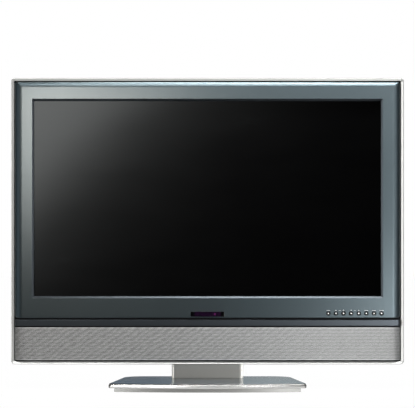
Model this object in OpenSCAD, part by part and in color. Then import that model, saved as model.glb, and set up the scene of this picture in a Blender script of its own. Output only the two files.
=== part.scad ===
// Flat screen television on a two-tier swivel stand.
// Millimetres, +Z up, the front faces -Y. The origin is on the floor under the middle of the stand.
// Depth means the distance behind the flat front of the bezel.

/* [Screen] */
// Width of the picture area
screen_w = 697.7; // [600:0.1:800]
// Height of the picture area
screen_h = 392.3; // [340:0.1:450]
// Width of the sloping lip round the picture
lip_w = 3.6; // [2:0.1:6]
// Depth of the sloping lip
lip_d = 6; // [5:0.1:9]

/* [Bezel] */
// Bezel beside the screen lip
side_border = 35.6; // [34:0.1:50]
// Bezel above the screen lip
top_border = 35.8; // [32:0.1:50]
// Bezel below the screen lip
bottom_border = 39.9; // [36:0.1:60]
// Width of the curved edge at the sides of the front
bevel_side_w = 16; // [12:0.5:20]
// Width of the curved edge at the top of the front
bevel_top_w = 12; // [10:0.5:16]
// Depth of the curved edge of the front
bevel_d = 8; // [7:0.5:10]
// Slope at which the curved edge leaves the flat front, in degrees
bevel_start = 12; // [6:1:14]
// Wall of the bezel
shell_wall = 2.5; // [2:0.1:3]
// Corner radius of the bezel
bezel_r = 5; // [4:0.5:8]
// Depth of the bezel's side walls
bezel_depth = 28; // [24:1:32]

/* [Surround] */
// Width of the silver surround seen from the front
rim_w = 7; // [5:0.1:10]
// Outer corner radius of the surround
rim_r = 7; // [6:0.5:12]
// Wall of the surround
rim_wall = 3; // [2:0.1:4]
// Depth at which the surround starts
rim_setback = 5; // [3:0.5:6]
// Length of the surround from front to back
rim_depth = 40; // [34:1:50]
// Radius of the surround's front edge
rim_round = 3.5; // [2:0.1:4.5]
// Gap between the surround and the bezel
bezel_gap = 0.4; // [0.2:0.1:0.8]

/* [Speaker strip] */
// Height of the speaker grille
grille_h = 67.3; // [60:0.1:80]
// Gap under the grille
grille_gap = 1.3; // [0.5:0.1:3]
// Depth of the grille's face
grille_setback = 1.5; // [0.5:0.1:3]
// Thickness of the grille's sheet
grille_sheet = 1.2; // [0.8:0.1:2]
// Height of the accent bar
accent_h = 12.6; // [9:0.1:18]
// Gap between the grille and the accent bar
accent_gap = 1.6; // [0.5:0.1:3]
// Depth of the accent bar's face
accent_setback = 1; // [0.5:0.1:3]
// Wall of the accent bar
accent_wall = 2.5; // [1.5:0.1:3]
// Groove between the accent bar and the bezel
groove_w = 4.1; // [2:0.1:8]
// Depth of the speaker baffle behind the strip
strip_depth = 12; // [11:0.5:15]
// Opening radius of a loudspeaker
speaker_r = 26; // [20:0.5:28]
// Length of a loudspeaker behind the baffle
speaker_d = 30; // [26:1:36]
// From the side of the bezel to a loudspeaker's axis
speaker_side = 98; // [90:1:150]

/* [Keys] */
// Distance between two keys
key_pitch = 15.3; // [12:0.1:18]
// From the side of the bezel to the last key
key_side = 38; // [30:0.5:50]
// Height of the keys above the bezel's lower edge
key_rise = 8.9; // [8:0.1:12]
// Radius of a key
key_r = 3.3; // [2.5:0.1:3.8]
// Clearance round a key
key_clear = 0.25; // [0.15:0.05:0.4]
// Height of a key's dome
key_dome = 1.2; // [0.6:0.1:1.8]
// Travel of a key
key_travel = 0.8; // [0.4:0.1:1]
// Width of the remote control window
ir_w = 67.4; // [40:0.1:80]
// Height of the remote control window
ir_h = 8.6; // [6:0.1:9]

/* [Picture panel] */
// Panel frame beside the picture
module_side = 25; // [22:0.5:26]
// Panel frame above and below the picture
module_top = 22; // [20:0.5:24]
// Sheet of the panel frame
frame_t = 1; // [0.8:0.1:1.5]
// Thickness of the glass cell
glass_t = 2; // [1.4:0.1:3]
// Glass that lies under the panel frame, each side
glass_border = 9; // [6:0.5:12]
// Thickness of the diffuser
diffuser_t = 3; // [2:0.5:4]
// Room for the lamps
lamp_room = 20; // [16:1:24]
// Radius of a lamp
lamp_r = 2; // [1.5:0.1:3]
// Distance between two lamps
lamp_pitch = 32; // [26:1:34]
// Sheet of the reflector tray
tray_t = 1.2; // [0.8:0.1:1.6]

/* [Chassis] */
// Distance between the wall mount holes across
mount_w = 200; // [100:50:200]
// Distance between the wall mount holes upwards
mount_h = 100; // [100:50:200]
// Bore radius of the wall mount inserts
mount_bore_r = 2; // [2:0.5:3]
// Outer radius of the wall mount inserts
mount_r = 7; // [6:0.5:9]
// Width of a chassis rail
rail_w = 40; // [30:1:44]
// Depth of a chassis rail
rail_d = 30; // [24:1:36]
// Sheet of a chassis rail
rail_t = 2; // [1.5:0.1:3]
// Thickness of the stand bracket
bracket_t = 4.5; // [3:0.5:6]
// Sheet of the chassis plate
chassis_t = 1.2; // [0.8:0.1:2]
// Width of the chassis plate
chassis_w = 600; // [580:1:620]
// Height of the chassis plate
chassis_h = 290; // [270:1:300]
// Length of the board spacers
spacer_h = 8; // [5:0.5:10]
// Thickness of the circuit boards
board_t = 1.6; // [1:0.1:2]

/* [Rear cover] */
// Wall of the rear cover
cover_wall = 2.5; // [2:0.1:3]
// From the side of the set to the raised back
bulge_side = 38; // [30:1:48]
// Sideways run of the raised back's sides
bulge_run = 40; // [20:1:44]
// From the bottom of the set to the raised back
bulge_foot = 24; // [20:1:30]
// Upward run of the raised back's underside
bulge_foot_run = 22; // [10:1:26]
// From the top of the set to the raised back
bulge_head = 38; // [30:1:48]
// Downward run of the raised back's top
bulge_head_run = 50; // [20:1:60]
// Width of a ventilation slot
vent_w = 3; // [2:0.1:3.5]
// Length of a ventilation slot
vent_h = 44; // [20:1:48]
// Distance between two ventilation slots
vent_pitch = 10; // [8:0.5:14]

/* [Neck] */
// Width of the neck
neck_w = 146; // [120:1:150]
// Depth of the neck
neck_d = 33; // [30:0.5:36]
// Corner radius of the neck
neck_r = 8; // [5:0.5:12]
// Wall of the neck covers
neck_wall = 2.5; // [2:0.1:3]
// Height of the neck that shows under the set
neck_show = 31.7; // [20:0.1:60]
// Length of the neck inside the set
neck_insert = 110; // [100:1:120]
// Sheet of the steel column
column_t = 3; // [2:0.5:4]

/* [Base] */
// Width of the base at its front corners
base_w = 391; // [350:1:430]
// Width of the base at its back corners
base_back_w = 344; // [320:1:350]
// Depth of the base
base_d = 240; // [225:1:280]
// Forward bow of the base's front edge
base_bow = 18; // [6:1:26]
// Radius of the base's front corners
base_front_r = 6; // [4:0.5:10]
// Radius of the base's back corners
base_back_r = 42; // [25:1:60]
// Thickness of the turning plate
plate_h = 8.5; // [8:0.1:12]
// Edge rounding of the turning plate
plate_edge = 2; // [1:0.1:2.5]
// Silver edge round the gloss top, measured from the outside
top_inset = 3.3; // [3:0.1:5]
// Thickness of the steel weight
weight_t = 4; // [3.6:0.1:4.6]
// Height of the plinth
plinth_h = 7.4; // [6.5:0.1:10]
// Plinth inset under the plate
plinth_inset = 11; // [8:0.5:20]
// Wall of the plinth
plinth_t = 3; // [2.5:0.1:3.5]
// Gap under the turning plate
swivel_gap = 0.4; // [0.3:0.1:1]
// Swing of the stand to each side, in degrees
swivel_range = 20; // [10:1:30]
// Radius of the pivot post
pivot_r = 15; // [12:0.5:18]
// Running clearance of the pivot post
pivot_clear = 0.05; // [0.02:0.01:0.1]
// Height of the rubber feet under the plinth
foot_h = 1.2; // [0.8:0.1:2]
// Radius of a rubber foot
foot_r = 9; // [6:0.5:12]
// From the front edge of the base to the front of the bezel
set_setback = 115; // [100:1:120]

/* [Mains inlet] */
// Width of the mains plug's recess
plug_w = 24.6; // [24:0.1:25]
// Height of the mains plug's recess
plug_h = 16.8; // [16:0.1:17.5]
// Depth of the mains plug's recess
plug_d = 17; // [16:0.5:19]
// Length of the inlet's blades
blade_l = 12; // [10:0.5:13]
// Width of the mains rocker
rocker_w = 11.4; // [9:0.1:13]
// Length of the mains rocker
rocker_l = 19; // [16:0.1:20]
// Swing of the mains rocker, in degrees
rocker_swing = 16; // [10:1:20]

/* [Fit] */
// Clearance between pieces that are fitted together
fit_gap = 0.3; // [0.2:0.05:0.4]
// Clearance of a screw in its hole
screw_clear = 0.2; // [0.1:0.05:0.3]

/* [Hidden] */
$fn = 48;

// How far a cut runs past a face
over = 1;

// Heights, from the floor up
plinth_z1 = foot_h + plinth_h;
plate_z0 = plinth_z1 + swivel_gap;
plate_z1 = plate_z0 + plate_h;
set_z0 = plate_z1 + neck_show;
grille_z0 = set_z0 + rim_w + grille_gap;
grille_z1 = grille_z0 + grille_h;
accent_z0 = grille_z1 + accent_gap;
accent_z1 = accent_z0 + accent_h;
bezel_z0 = accent_z1 + groove_w;
opening_z0 = bezel_z0 + bottom_border;
screen_z0 = opening_z0 + lip_w;
screen_zc = screen_z0 + screen_h / 2;
opening_z1 = screen_z0 + screen_h + lip_w;
bezel_z1 = opening_z1 + top_border;
set_z1 = bezel_z1 + bezel_gap + rim_w;
set_zc = (set_z0 + set_z1) / 2;
set_h = set_z1 - set_z0;
neck_top = set_z0 + neck_insert;

// Widths
opening_w = screen_w + 2 * lip_w;
bezel_w = opening_w + 2 * side_border;
set_w = bezel_w + 2 * (bezel_gap + rim_w);
module_w = screen_w + 2 * module_side;
module_h = screen_h + 2 * module_top;
glass_w = screen_w + 2 * glass_border;
glass_h = screen_h + 2 * glass_border;

// Depths, from the flat front of the bezel backwards
face_y = set_setback - base_d / 2;
function at(d) = face_y + d;
frame_d0 = lip_d + fit_gap;
glass_d0 = frame_d0 + frame_t;
glass_d1 = glass_d0 + glass_t;
diffuser_d1 = glass_d1 + diffuser_t;
tray_d0 = diffuser_d1 + lamp_room;
tray_d1 = tray_d0 + tray_t;
rail_d1 = tray_d1 + rail_d;
chassis_d1 = rail_d1 + chassis_t;
board_d0 = chassis_d1 + spacer_h;
board_d1 = board_d0 + board_t;
pocket_d0 = rail_d1 + bracket_t;
pocket_d1 = pocket_d0 + cover_wall;
neck_d0 = pocket_d1 + fit_gap;
back_d = neck_d0 + neck_d;
cover_in_d = back_d - cover_wall;
rim_d1 = rim_setback + rim_depth;
cover_d1 = rim_d1 + cover_wall;
baffle_d1 = strip_depth + shell_wall;

// The arc of a curved front edge of width w: its radius, how far its axis lies inside the edge, and how deep
function bevel_r(w) = norm([w, bevel_d]) / (2 * sin(atan2(bevel_d, w) - bevel_start));
function bevel_in(w) = w + bevel_r(w) * sin(bevel_start);
function bevel_axis(w) = bevel_r(w) * cos(bevel_start);

// Screws that hold the rear cover, the surround and the bezel together
screw_r = 2;
screw_head_r = 4;
screw_head_h = 2.5;
screw_bite = 8;
screw_hole_r = screw_r + screw_clear;
boss_r = 4;
tube_r = 5;
boss_sink = 0.5;
boss_in = shell_wall + boss_r - boss_sink;
side_screw_pitch = 170;
top_screw_pitch = 250;
foot_screw_rise = 12;
foot_screw_side = 50;
foot_screw_x = 150;
foot_screws = [
  for (s = [-1, 1], x = [set_w / 2 - foot_screw_side, foot_screw_x]) [s * x, set_z0 + foot_screw_rise]
];
side_screws = [
  for (s = [-1, 1], i = [-1:1]) [s * (bezel_w / 2 - boss_in), screen_zc + i * side_screw_pitch]
];
top_screws = [for (i = [-1:1]) [i * top_screw_pitch, bezel_z1 - boss_in]];
bezel_screws = concat(side_screws, top_screws);

// Keys, their switches and their board
key_count = 8;
key_lift = 0.3;
key_play = 0.1;
key_flange = 1;
key_stem_r = 2;
key_z = bezel_z0 + key_rise;
key_last_x = bezel_w / 2 - key_side;
function key_x(i) = key_last_x - (key_count - 1 - i) * key_pitch;
key_flange_d0 = shell_wall + key_play;
key_flange_d1 = key_flange_d0 + key_flange;
key_stem_room = 3;
key_stem_clear = 0.2;
switch_d0 = key_flange_d1 + key_travel + key_stem_room;
switch_h = 5;
switch_well = 3;
switch_w = 6;
switch_well_r = key_stem_r + 2 * key_stem_clear;
key_stem_d1 = switch_d0 + switch_well - key_travel - key_stem_clear;
key_board_d0 = switch_d0 + switch_h;
key_board_top = 6.5;
key_post_r = 2;
key_board_ends = 9;

// Remote control window and its board
ir_flange = 2;
ir_recess = 0.4;
ir_lift = 0.5;
ir_rise = shell_wall + fit_gap + ir_h / 2 + ir_lift;
ir_z = bezel_z0 + ir_rise;
ir_flange_d0 = shell_wall + fit_gap / 2;
ir_flange_t = 1.5;
ir_board_gap = 4;
ir_board_d0 = ir_flange_d0 + ir_flange_t + ir_board_gap;
ir_board_ends = 7;
ir_board_w = ir_w + 2 * (ir_flange + ir_board_ends);
ir_post_out = 4;
ir_post_x = ir_w / 2 + ir_flange + ir_post_out;
ir_sensor_w = 7;
ir_sensor_h = 6;
ir_sensor_gap = 1;

// Chassis, boards and sockets
rail_x = mount_w / 2;
mount_drop = 30;
mount_z = screen_zc - mount_drop;
bracket_rise = 47;
bracket_z0 = set_z0 + bracket_rise;
bracket_z1 = neck_top;
board_margin = 8;
board_w = 160;
main_board_h = 180;
power_board_h = 240;
board_in = chassis_w / 2 - board_margin;
board_z0 = mount_z - chassis_h / 2 + board_margin;
spacer_r = 3;
spacer_in = 6;
post_h = 4;
inverter_w = 56;
inverter_h = 300;
inverter_gap = 12;
inverter_x = rail_x + rail_w / 2 + inverter_gap;
io_t = 1;
io_inset = 6;
io_w = board_w - 2 * io_inset;
io_h = 70;
io_x = -board_in + board_w / 2;
io_z = board_z0 + io_inset + io_h / 2;
io_edge = 3;
video_w = 15;
video_h = 5.6;
video_shell = 0.5;
video_pitch = 24;
video_recess = 0.8;
phono_count = 5;
phono_pitch = 16;
phono_r = 4.15;
phono_bore_r = 1.6;
phono_bore = 9;
phono_proud = 5;
phono_block = 11;
antenna_r = 4.7;
antenna_proud = 9;
antenna_block = 15;
video_rise = 18;
phono_drop = 16;
socket_side = 24;
video_row_z = io_z + video_rise;
phono_row_z = io_z - phono_drop;
video_x0 = io_x - io_w / 2 + socket_side;
antenna_x = io_x + io_w / 2 - socket_side;

// Raised back of the rear cover
back_x = set_w / 2 - bulge_side - bulge_run;
back_z0 = set_z0 + bulge_foot + bulge_foot_run;
back_z1 = set_z1 - bulge_head - bulge_head_run;
cover_inset = 1;
vent_margin = 60;
vent_count = floor(2 * (back_x - vent_margin) / vent_pitch);
vent_drop = 24;
vent_top_z = back_z1 - vent_drop;
vent_foot_count = floor(io_w / vent_pitch);
vent_rise = 34;
vent_foot_z = back_z0 + vent_rise;

// Pocket of the rear cover that takes the neck
pocket_x = neck_w / 2 + fit_gap;
pocket_top = neck_top + fit_gap;

// Neck bolts
bolt_r = 3;
bolt_hole_r = bolt_r + screw_clear;
bolt_head_r = 5.5;
bolt_head_h = 5;
bolt_access_r = 7;
bolt_x = 44;
bolt_foot = 18;
bolt_head = 16;
bolt_z0 = bracket_z0 + bolt_foot;
bolt_z1 = bracket_z1 - bolt_head;
bolts = [for (x = [-bolt_x, bolt_x], z = [bolt_z0, bolt_z1]) [x, z]];
column_side = 5;
column_x = neck_w / 2 - neck_wall - column_side;
column_d0 = neck_d0 + neck_wall + fit_gap;
column_d1 = column_d0 + column_t;
column_d2 = back_d - neck_wall - fit_gap;
column_screw_r = 2.5;
column_screw_head_r = 4.5;
column_screw_head_h = 3;
column_screw_in = 12;
column_screw_pitch = 24;
column_screws_x = [
  for (s = [-1, 1], i = [0, 1]) s * (column_x - column_screw_in - i * column_screw_pitch)
];
column_screws_d = (column_d1 + column_d2) / 2;

// Base and swivel
ring_inset = 7;
weight_gap = 0.3;
weight_z0 = plate_z0 + weight_gap;
weight_z1 = weight_z0 + weight_t;
cap_lip = 5;
cap_r = pivot_r + cap_lip;
cap_h = 1.6;
cap_room = 0.3;
cap_shank_r = 4;
cap_lift = 0.1;
post_flange = 10;
post_flange_r = pivot_r + post_flange;
post_flange_h = 2;
glide_r0 = 62;
glide_r1 = 82;
glide_lift = 0.1;
stop_r = 3;
stop_clear = 0.4;
stop_out = 31;
stop_radius = pivot_r + stop_out;
stop_slack = asin(stop_clear / stop_radius);
foot_sink = 1;
foot_boss = 2.5;
foot_front_in = 42;
foot_back_in = 40;
foot_side_in = 46;
foot_places = [
  for (s = [-1, 1]) [s * (base_w / 2 - foot_side_in), base_bow + foot_front_in - base_d / 2],
  for (s = [-1, 1]) [s * (base_back_w / 2 - foot_side_in), base_d / 2 - foot_back_in],
  [0, foot_front_in - base_d / 2],
  [0, base_d / 2 - foot_back_in]
];

// Mains inlet and its rocker
inlet_wall = 2;
inlet_flange = 3;
inlet_flange_t = 2;
inlet_floor = 3;
well_w = rocker_w + 2 * fit_gap;
well_room = 2.4;
well_l = rocker_l + well_room;
inlet_body_w = 3 * inlet_wall + plug_w + well_w;
inlet_body_h = 2 * inlet_wall + well_l;
inlet_body_d = plug_d + inlet_floor;
inlet_x = 236;
inlet_rise = 42;
inlet_z = back_z0 + inlet_rise;
plug_x = inlet_x - inlet_body_w / 2 + inlet_wall + plug_w / 2;
well_x = inlet_x + inlet_body_w / 2 - inlet_wall - well_w / 2;
blade_w = 2;
blade_h = 4.5;
blade_x = 7;
blade_z = 2;
rocker_axle_r = 1.5;
rocker_axle_clear = 0.06;
rocker_axle_l = 1.4;
rocker_sink = 1;
rocker_axis_d = back_d - rocker_sink;
rocker_rest = rocker_swing / 2;
rocker_crown = 4;
rocker_dip = 1;
rocker_keel = 5;
rocker_keel_w = 4;
rocker_end = 0.6;
rocker_axle_play = 0.2;

// The range of width w round c, and a range carried past both its ends
function mid(c, w) = [c - w / 2, c + w / 2];
function past(range) = [range[0] - over, range[1] + over];

// Box from one corner to the other: across, in depth and upwards
module block(x, d, z) {
  translate([x[0], at(d[0]), z[0]])
    cube([x[1] - x[0], d[1] - d[0], z[1] - z[0]]);
}

// Box that is centred across
module bar(w, d, z) {
  block([-w / 2, w / 2], d, z);
}

// A flat outline in X and Z, run back from one depth to another
module run_back(d0, d1) {
  translate([0, at(d1), 0]) rotate([90, 0, 0]) linear_extrude(d1 - d0) children();
}

// A shape whose own +Z becomes the way back, placed at depth d
module point_back(x, d, z) {
  translate([x, at(d), z]) rotate([-90, 0, 0]) children();
}

module rod_back(x, z, r, d0, d1) {
  point_back(x, d0, z) cylinder(h = d1 - d0, r = r);
}

// The same rod at each of a list of places in X and Z
module rods_back(places, r, d0, d1) {
  for (p = places) rod_back(p[0], p[1], r, d0, d1);
}

module round_rect(w, h, r) {
  square([w - 2 * r, h], center = true);
  square([w, h - 2 * r], center = true);
  for (sx = [-1, 1], sy = [-1, 1]) translate([sx * (w / 2 - r), sy * (h / 2 - r)]) circle(r);
}

// Solid between a rectangle at depth da and another at depth db
module frustum(da, xa, za, db, xb, zb) {
  low = min(za[0], zb[0]);
  high = max(za[1], zb[1]);
  wide = max(xa, xb);
  intersection() {
    translate([0, 0, low]) linear_extrude(high - low)
      polygon([[-xa, at(da)], [xa, at(da)], [xb, at(db)], [-xb, at(db)]]);
    rotate([90, 0, 90]) linear_extrude(2 * wide, center = true)
      polygon([[at(da), za[0]], [at(da), za[1]], [at(db), zb[1]], [at(db), zb[0]]]);
  }
}

// What the curved front edge takes away at both sides, with its arc moved in by inset
module side_bevel(inset, z0, z1) {
  axis_x = bezel_w / 2 - bevel_in(bevel_side_w);
  axis_d = bevel_axis(bevel_side_w);
  for (s = [0, 1]) mirror([s, 0, 0]) difference() {
    block([axis_x, bezel_w / 2 + over], [-over, axis_d], [z0 - over, z1 + over]);
    translate([axis_x, at(axis_d), z0 - 2 * over])
      cylinder(h = z1 - z0 + 4 * over, r = bevel_r(bevel_side_w) - inset, $fn = 180);
  }
}

// The same along the top of the bezel
module top_bevel(inset) {
  axis_z = bezel_z1 - bevel_in(bevel_top_w);
  axis_d = bevel_axis(bevel_top_w);
  difference() {
    bar(bezel_w + 2 * over, [-over, axis_d], [axis_z, bezel_z1 + over]);
    translate([-bezel_w / 2 - 2 * over, at(axis_d), axis_z]) rotate([0, 90, 0])
      cylinder(h = bezel_w + 4 * over, r = bevel_r(bevel_top_w) - inset, $fn = 180);
  }
}

// The bezel as a full solid, moved in by inset
module bezel_form(inset, d1) {
  difference() {
    run_back(inset, d1) translate([0, (bezel_z0 + bezel_z1) / 2])
      round_rect(bezel_w - 2 * inset, bezel_z1 - bezel_z0 - 2 * inset, bezel_r - inset);
    side_bevel(inset, bezel_z0, bezel_z1);
    top_bevel(inset);
  }
}

module front_bezel() {
  lip_run = lip_w / lip_d;
  posts_d1 = key_board_d0;
  color("#6a7276") difference() {
    union() {
      difference() {
        bezel_form(0, bezel_depth);
        bezel_form(shell_wall, bezel_depth + over);
      }
      bar(opening_w + 2 * shell_wall, [shell_wall / 2, lip_d],
        [opening_z0 - shell_wall, opening_z1 + shell_wall]);
      intersection() {
        bezel_form(0, bezel_depth);
        rods_back(bezel_screws, boss_r, shell_wall / 2, bezel_depth);
      }
      for (i = [0, 2, 4, 6]) rod_back(key_x(i) + key_pitch / 2, key_z, key_post_r, shell_wall / 2, posts_d1);
      for (s = [-1, 1]) rod_back(s * ir_post_x, ir_z, key_post_r, shell_wall / 2, ir_board_d0);
    }
    frustum(
      -over, opening_w / 2 + over * lip_run, [opening_z0 - over * lip_run, opening_z1 + over * lip_run],
      lip_d + over, screen_w / 2 - over * lip_run,
      [screen_z0 + over * lip_run, screen_z0 + screen_h - over * lip_run]
    );
    for (i = [0:key_count - 1]) rod_back(key_x(i), key_z, key_r + key_clear, -over, shell_wall + over);
    bar(ir_w + 2 * fit_gap, past([0, shell_wall]), mid(ir_z, ir_h + 2 * fit_gap));
    rods_back(bezel_screws, screw_hole_r, bezel_depth - screw_bite - over, bezel_depth + over);
  }
}

module set_outline(inset) {
  translate([0, set_zc]) round_rect(set_w - 2 * inset, set_h - 2 * inset, rim_r - inset);
}

// What the rounding of the surround's front edge takes away
module rim_edge() {
  edge_d = rim_setback + rim_round;
  for (s = [0, 1]) mirror([s, 0, 0]) difference() {
    block([set_w / 2 - rim_round, set_w / 2 + over], [rim_setback - over, edge_d], past([set_z0, set_z1]));
    translate([set_w / 2 - rim_round, at(edge_d), set_z0 - 2 * over])
      cylinder(h = set_h + 4 * over, r = rim_round);
  }
  for (z = [[set_z0 + rim_round, set_z0 - over], [set_z1 - rim_round, set_z1 + over]]) difference() {
    bar(set_w + 2 * over, [rim_setback - over, edge_d], [min(z), max(z)]);
    translate([-set_w / 2 - 2 * over, at(edge_d), z[0]]) rotate([0, 90, 0])
      cylinder(h = set_w + 4 * over, r = rim_round);
  }
}

module silver_surround() {
  rib = 6;
  color("#c9c9c5") difference() {
    union() {
      run_back(rim_setback, rim_d1) difference() {
        set_outline(0);
        set_outline(rim_wall);
      }
      run_back(rim_setback, rim_setback + rim_wall) difference() {
        set_outline(0);
        translate([0, set_zc]) round_rect(bezel_w + 2 * bezel_gap, set_h - 2 * rim_w, bezel_r + bezel_gap);
      }
      for (p = side_screws) {
        rod_back(p[0], p[1], tube_r, bezel_depth, rim_d1);
        mirror([p[0] < 0 ? 1 : 0, 0, 0]) block(
          [abs(p[0]), set_w / 2 - rim_wall / 2], [bezel_depth, rim_d1], [p[1] - rib / 2, p[1] + rib / 2]
        );
      }
      for (p = top_screws) {
        rod_back(p[0], p[1], tube_r, bezel_depth, rim_d1);
        block([p[0] - rib / 2, p[0] + rib / 2], [bezel_depth, rim_d1], [p[1], set_z1 - rim_wall / 2]);
      }
      for (p = foot_screws) {
        rod_back(p[0], p[1], tube_r, baffle_d1, rim_d1);
        block([p[0] - rib / 2, p[0] + rib / 2], [baffle_d1, rim_d1], [set_z0 + rim_wall / 2, p[1]]);
      }
    }
    rim_edge();
    rods_back(bezel_screws, screw_hole_r, bezel_depth - over, rim_d1 + over);
    rods_back(foot_screws, screw_hole_r, bezel_depth - screw_bite - over, rim_d1 + over);
  }
}

module accent_bar() {
  inner = accent_setback + accent_wall;
  color("#4a4f55") difference() {
    bar(bezel_w, [accent_setback, strip_depth], [accent_z0, accent_z1]);
    side_bevel(0, accent_z0, accent_z1);
    difference() {
      bar(bezel_w - 2 * accent_wall, [inner, strip_depth + over],
        [accent_z0 + accent_wall, accent_z1 - accent_wall]);
      side_bevel(accent_wall, accent_z0, accent_z1);
    }
  }
}

speaker_x = bezel_w / 2 - speaker_side;
speaker_z = (grille_z0 + grille_z1) / 2;
grille_r = bezel_r + bezel_gap;

// Outline of the grille with its round lower corners, moved in by inset
module grille_outline(inset) {
  w = bezel_w - 2 * inset;
  h = grille_h - 2 * inset;
  r = grille_r - inset;
  translate([0, speaker_z]) intersection() {
    square([w, h], center = true);
    translate([0, r]) round_rect(w, h + 2 * r, r);
  }
}

// The grille as a full solid, moved in by inset
module grille_form(inset, d1) {
  difference() {
    run_back(grille_setback + inset, d1) grille_outline(inset);
    side_bevel(inset, grille_z0, grille_z1);
  }
}
grille_hole = 3;
grille_pitch = 5;

module speaker_grille() {
  rows = floor(speaker_r / grille_pitch);
  color("#a6a8a6") difference() {
    grille_form(0, strip_depth);
    grille_form(grille_sheet, strip_depth + over);
    for (s = [-1, 1], i = [-rows:rows], j = [-rows:rows])
      rod_back(s * speaker_x + i * grille_pitch, speaker_z + j * grille_pitch, grille_hole / 2,
        grille_setback - over, grille_setback + grille_sheet + over, $fn = 6);
  }
}

module speaker_baffle() {
  color("#2b2c2e") difference() {
    bar(bezel_w, [strip_depth, baffle_d1], [set_z0 + rim_wall, bezel_z0]);
    for (s = [-1, 1]) rod_back(s * speaker_x, speaker_z, speaker_r, strip_depth - over, baffle_d1 + over);
  }
}

// Loudspeaker basket with its magnet, as a turned profile
speaker_flange = 5;
speaker_flange_t = 2;
speaker_magnet_h = 12;
speaker_neck_r = speaker_r / 2;
speaker_step = 0.5;
speaker_rim_r = speaker_r - speaker_step;
speaker_floor = 2;
speaker_cone_d = speaker_d - speaker_magnet_h - speaker_floor;
speaker_sheet = 2.5;
speaker_magnet_lip = 7;
cone_t = 1.3;
cone_clear = 0.2;

module speaker_frame(s) {
  color("#3a3c3e") point_back(s * speaker_x, baffle_d1, speaker_z) rotate_extrude() polygon([
    [speaker_rim_r, 0],
    [speaker_r + speaker_flange, 0],
    [speaker_r + speaker_flange, speaker_flange_t],
    [speaker_rim_r + speaker_sheet, speaker_flange_t],
    [speaker_neck_r + speaker_sheet, speaker_cone_d + speaker_floor],
    [speaker_neck_r + speaker_magnet_lip, speaker_cone_d + speaker_floor],
    [speaker_neck_r + speaker_magnet_lip, speaker_d],
    [0, speaker_d],
    [0, speaker_cone_d],
    [speaker_neck_r, speaker_cone_d]
  ]);
}

module speaker_cone(s) {
  cone_gap = fit_gap + cone_clear;
  cone_d = speaker_cone_d - fit_gap;
  color("#1d1e20") point_back(s * speaker_x, baffle_d1, speaker_z) rotate_extrude() polygon([
    [speaker_rim_r - cone_gap, 0],
    [speaker_neck_r - cone_gap, cone_d],
    [0, cone_d],
    [0, cone_d - cone_t],
    [speaker_neck_r - cone_gap - cone_t / 2, cone_d - cone_t],
    [speaker_rim_r - cone_gap - cone_t, 0]
  ]);
}

module left_speaker_frame() { speaker_frame(-1); }
module right_speaker_frame() { speaker_frame(1); }
module left_speaker_cone() { speaker_cone(-1); }
module right_speaker_cone() { speaker_cone(1); }

module ir_window() {
  low = ir_z - ir_h / 2;
  high = ir_z + ir_h / 2;
  color("#1b1420") {
    bar(ir_w, [ir_recess, ir_flange_d0 + ir_flange_t], [low, high]);
    bar(ir_w + 2 * ir_flange, [ir_flange_d0, ir_flange_d0 + ir_flange_t], [low, high + ir_flange]);
  }
}

module ir_board() {
  sensor_d0 = ir_board_d0 - ir_board_gap + ir_sensor_gap;
  color("#2f6b46") union() {
    bar(ir_board_w, [ir_board_d0, ir_board_d0 + board_t], mid(ir_z, ir_h));
    bar(ir_sensor_w, [sensor_d0, ir_board_d0 + board_t / 2], mid(ir_z, ir_sensor_h));
  }
}

module key_board() {
  color("#2f6b46") block(
    [key_x(0) - key_board_ends, key_last_x + key_board_ends], [key_board_d0, key_board_d0 + board_t],
    [bezel_z0 + shell_wall + fit_gap, key_z + key_board_top]
  );
}

module key_switches() {
  color("#202122") for (i = [0:key_count - 1]) difference() {
    block(
      [key_x(i) - switch_w / 2, key_x(i) + switch_w / 2], [switch_d0, key_board_d0],
      [key_z - switch_w / 2, key_z + switch_w / 2]
    );
    rod_back(key_x(i), key_z, switch_well_r, switch_d0 - over, switch_d0 + switch_well);
  }
}

// A domed key with the flange that keeps it behind the bezel, and the stem that works its switch
module key(i) {
  dome_r = (key_r * key_r + key_dome * key_dome) / (2 * key_dome);
  color("#d5d6d6") point_back(key_x(i), 0, key_z) union() {
    intersection() {
      translate([0, 0, dome_r - key_dome - key_lift]) sphere(r = dome_r);
      translate([0, 0, -key_dome - key_lift - over]) cylinder(h = key_dome + over + 0.01, r = key_r);
    }
    translate([0, 0, -key_lift]) cylinder(h = key_lift + key_flange_d1, r = key_r);
    translate([0, 0, key_flange_d0]) cylinder(h = key_flange, r = key_r + key_flange);
    cylinder(h = key_stem_d1, r = key_stem_r);
  }
}

module source_key() { key(0); }
module volume_down_key() { key(1); }
module volume_up_key() { key(2); }
module channel_down_key() { key(3); }
module channel_up_key() { key(4); }
module menu_key() { key(5); }
module enter_key() { key(6); }
module power_key() { key(7); }

// Box round the picture's middle
module round_screen(w, h, d) {
  bar(w, d, [screen_zc - h / 2, screen_zc + h / 2]);
}

module panel_frame() {
  window = 3;
  color("#8d9092") difference() {
    round_screen(module_w, module_h, [frame_d0, tray_d1]);
    round_screen(module_w - 2 * frame_t, module_h - 2 * frame_t, [glass_d0, tray_d1 + over]);
    round_screen(screen_w + window, screen_h + window, [frame_d0 - over, glass_d0 + over]);
  }
}

module panel_glass() {
  color("#0d0e10") round_screen(glass_w, glass_h, [glass_d0, glass_d1]);
}

module diffuser_plate() {
  color("#e8e8e4") round_screen(glass_w, glass_h, [glass_d1, diffuser_d1]);
}

holder_w = 14;
lamp_count = 12;
function lamp_z(i) = screen_zc + (i - (lamp_count - 1) / 2) * lamp_pitch;
lamp_d = (diffuser_d1 + tray_d0) / 2;
lamp_l = glass_w - holder_w / 2;

module lamp_row(r, l) {
  for (i = [0:lamp_count - 1]) translate([-l / 2, at(lamp_d), lamp_z(i)]) rotate([0, 90, 0])
    cylinder(h = l, r = r);
}

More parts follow.
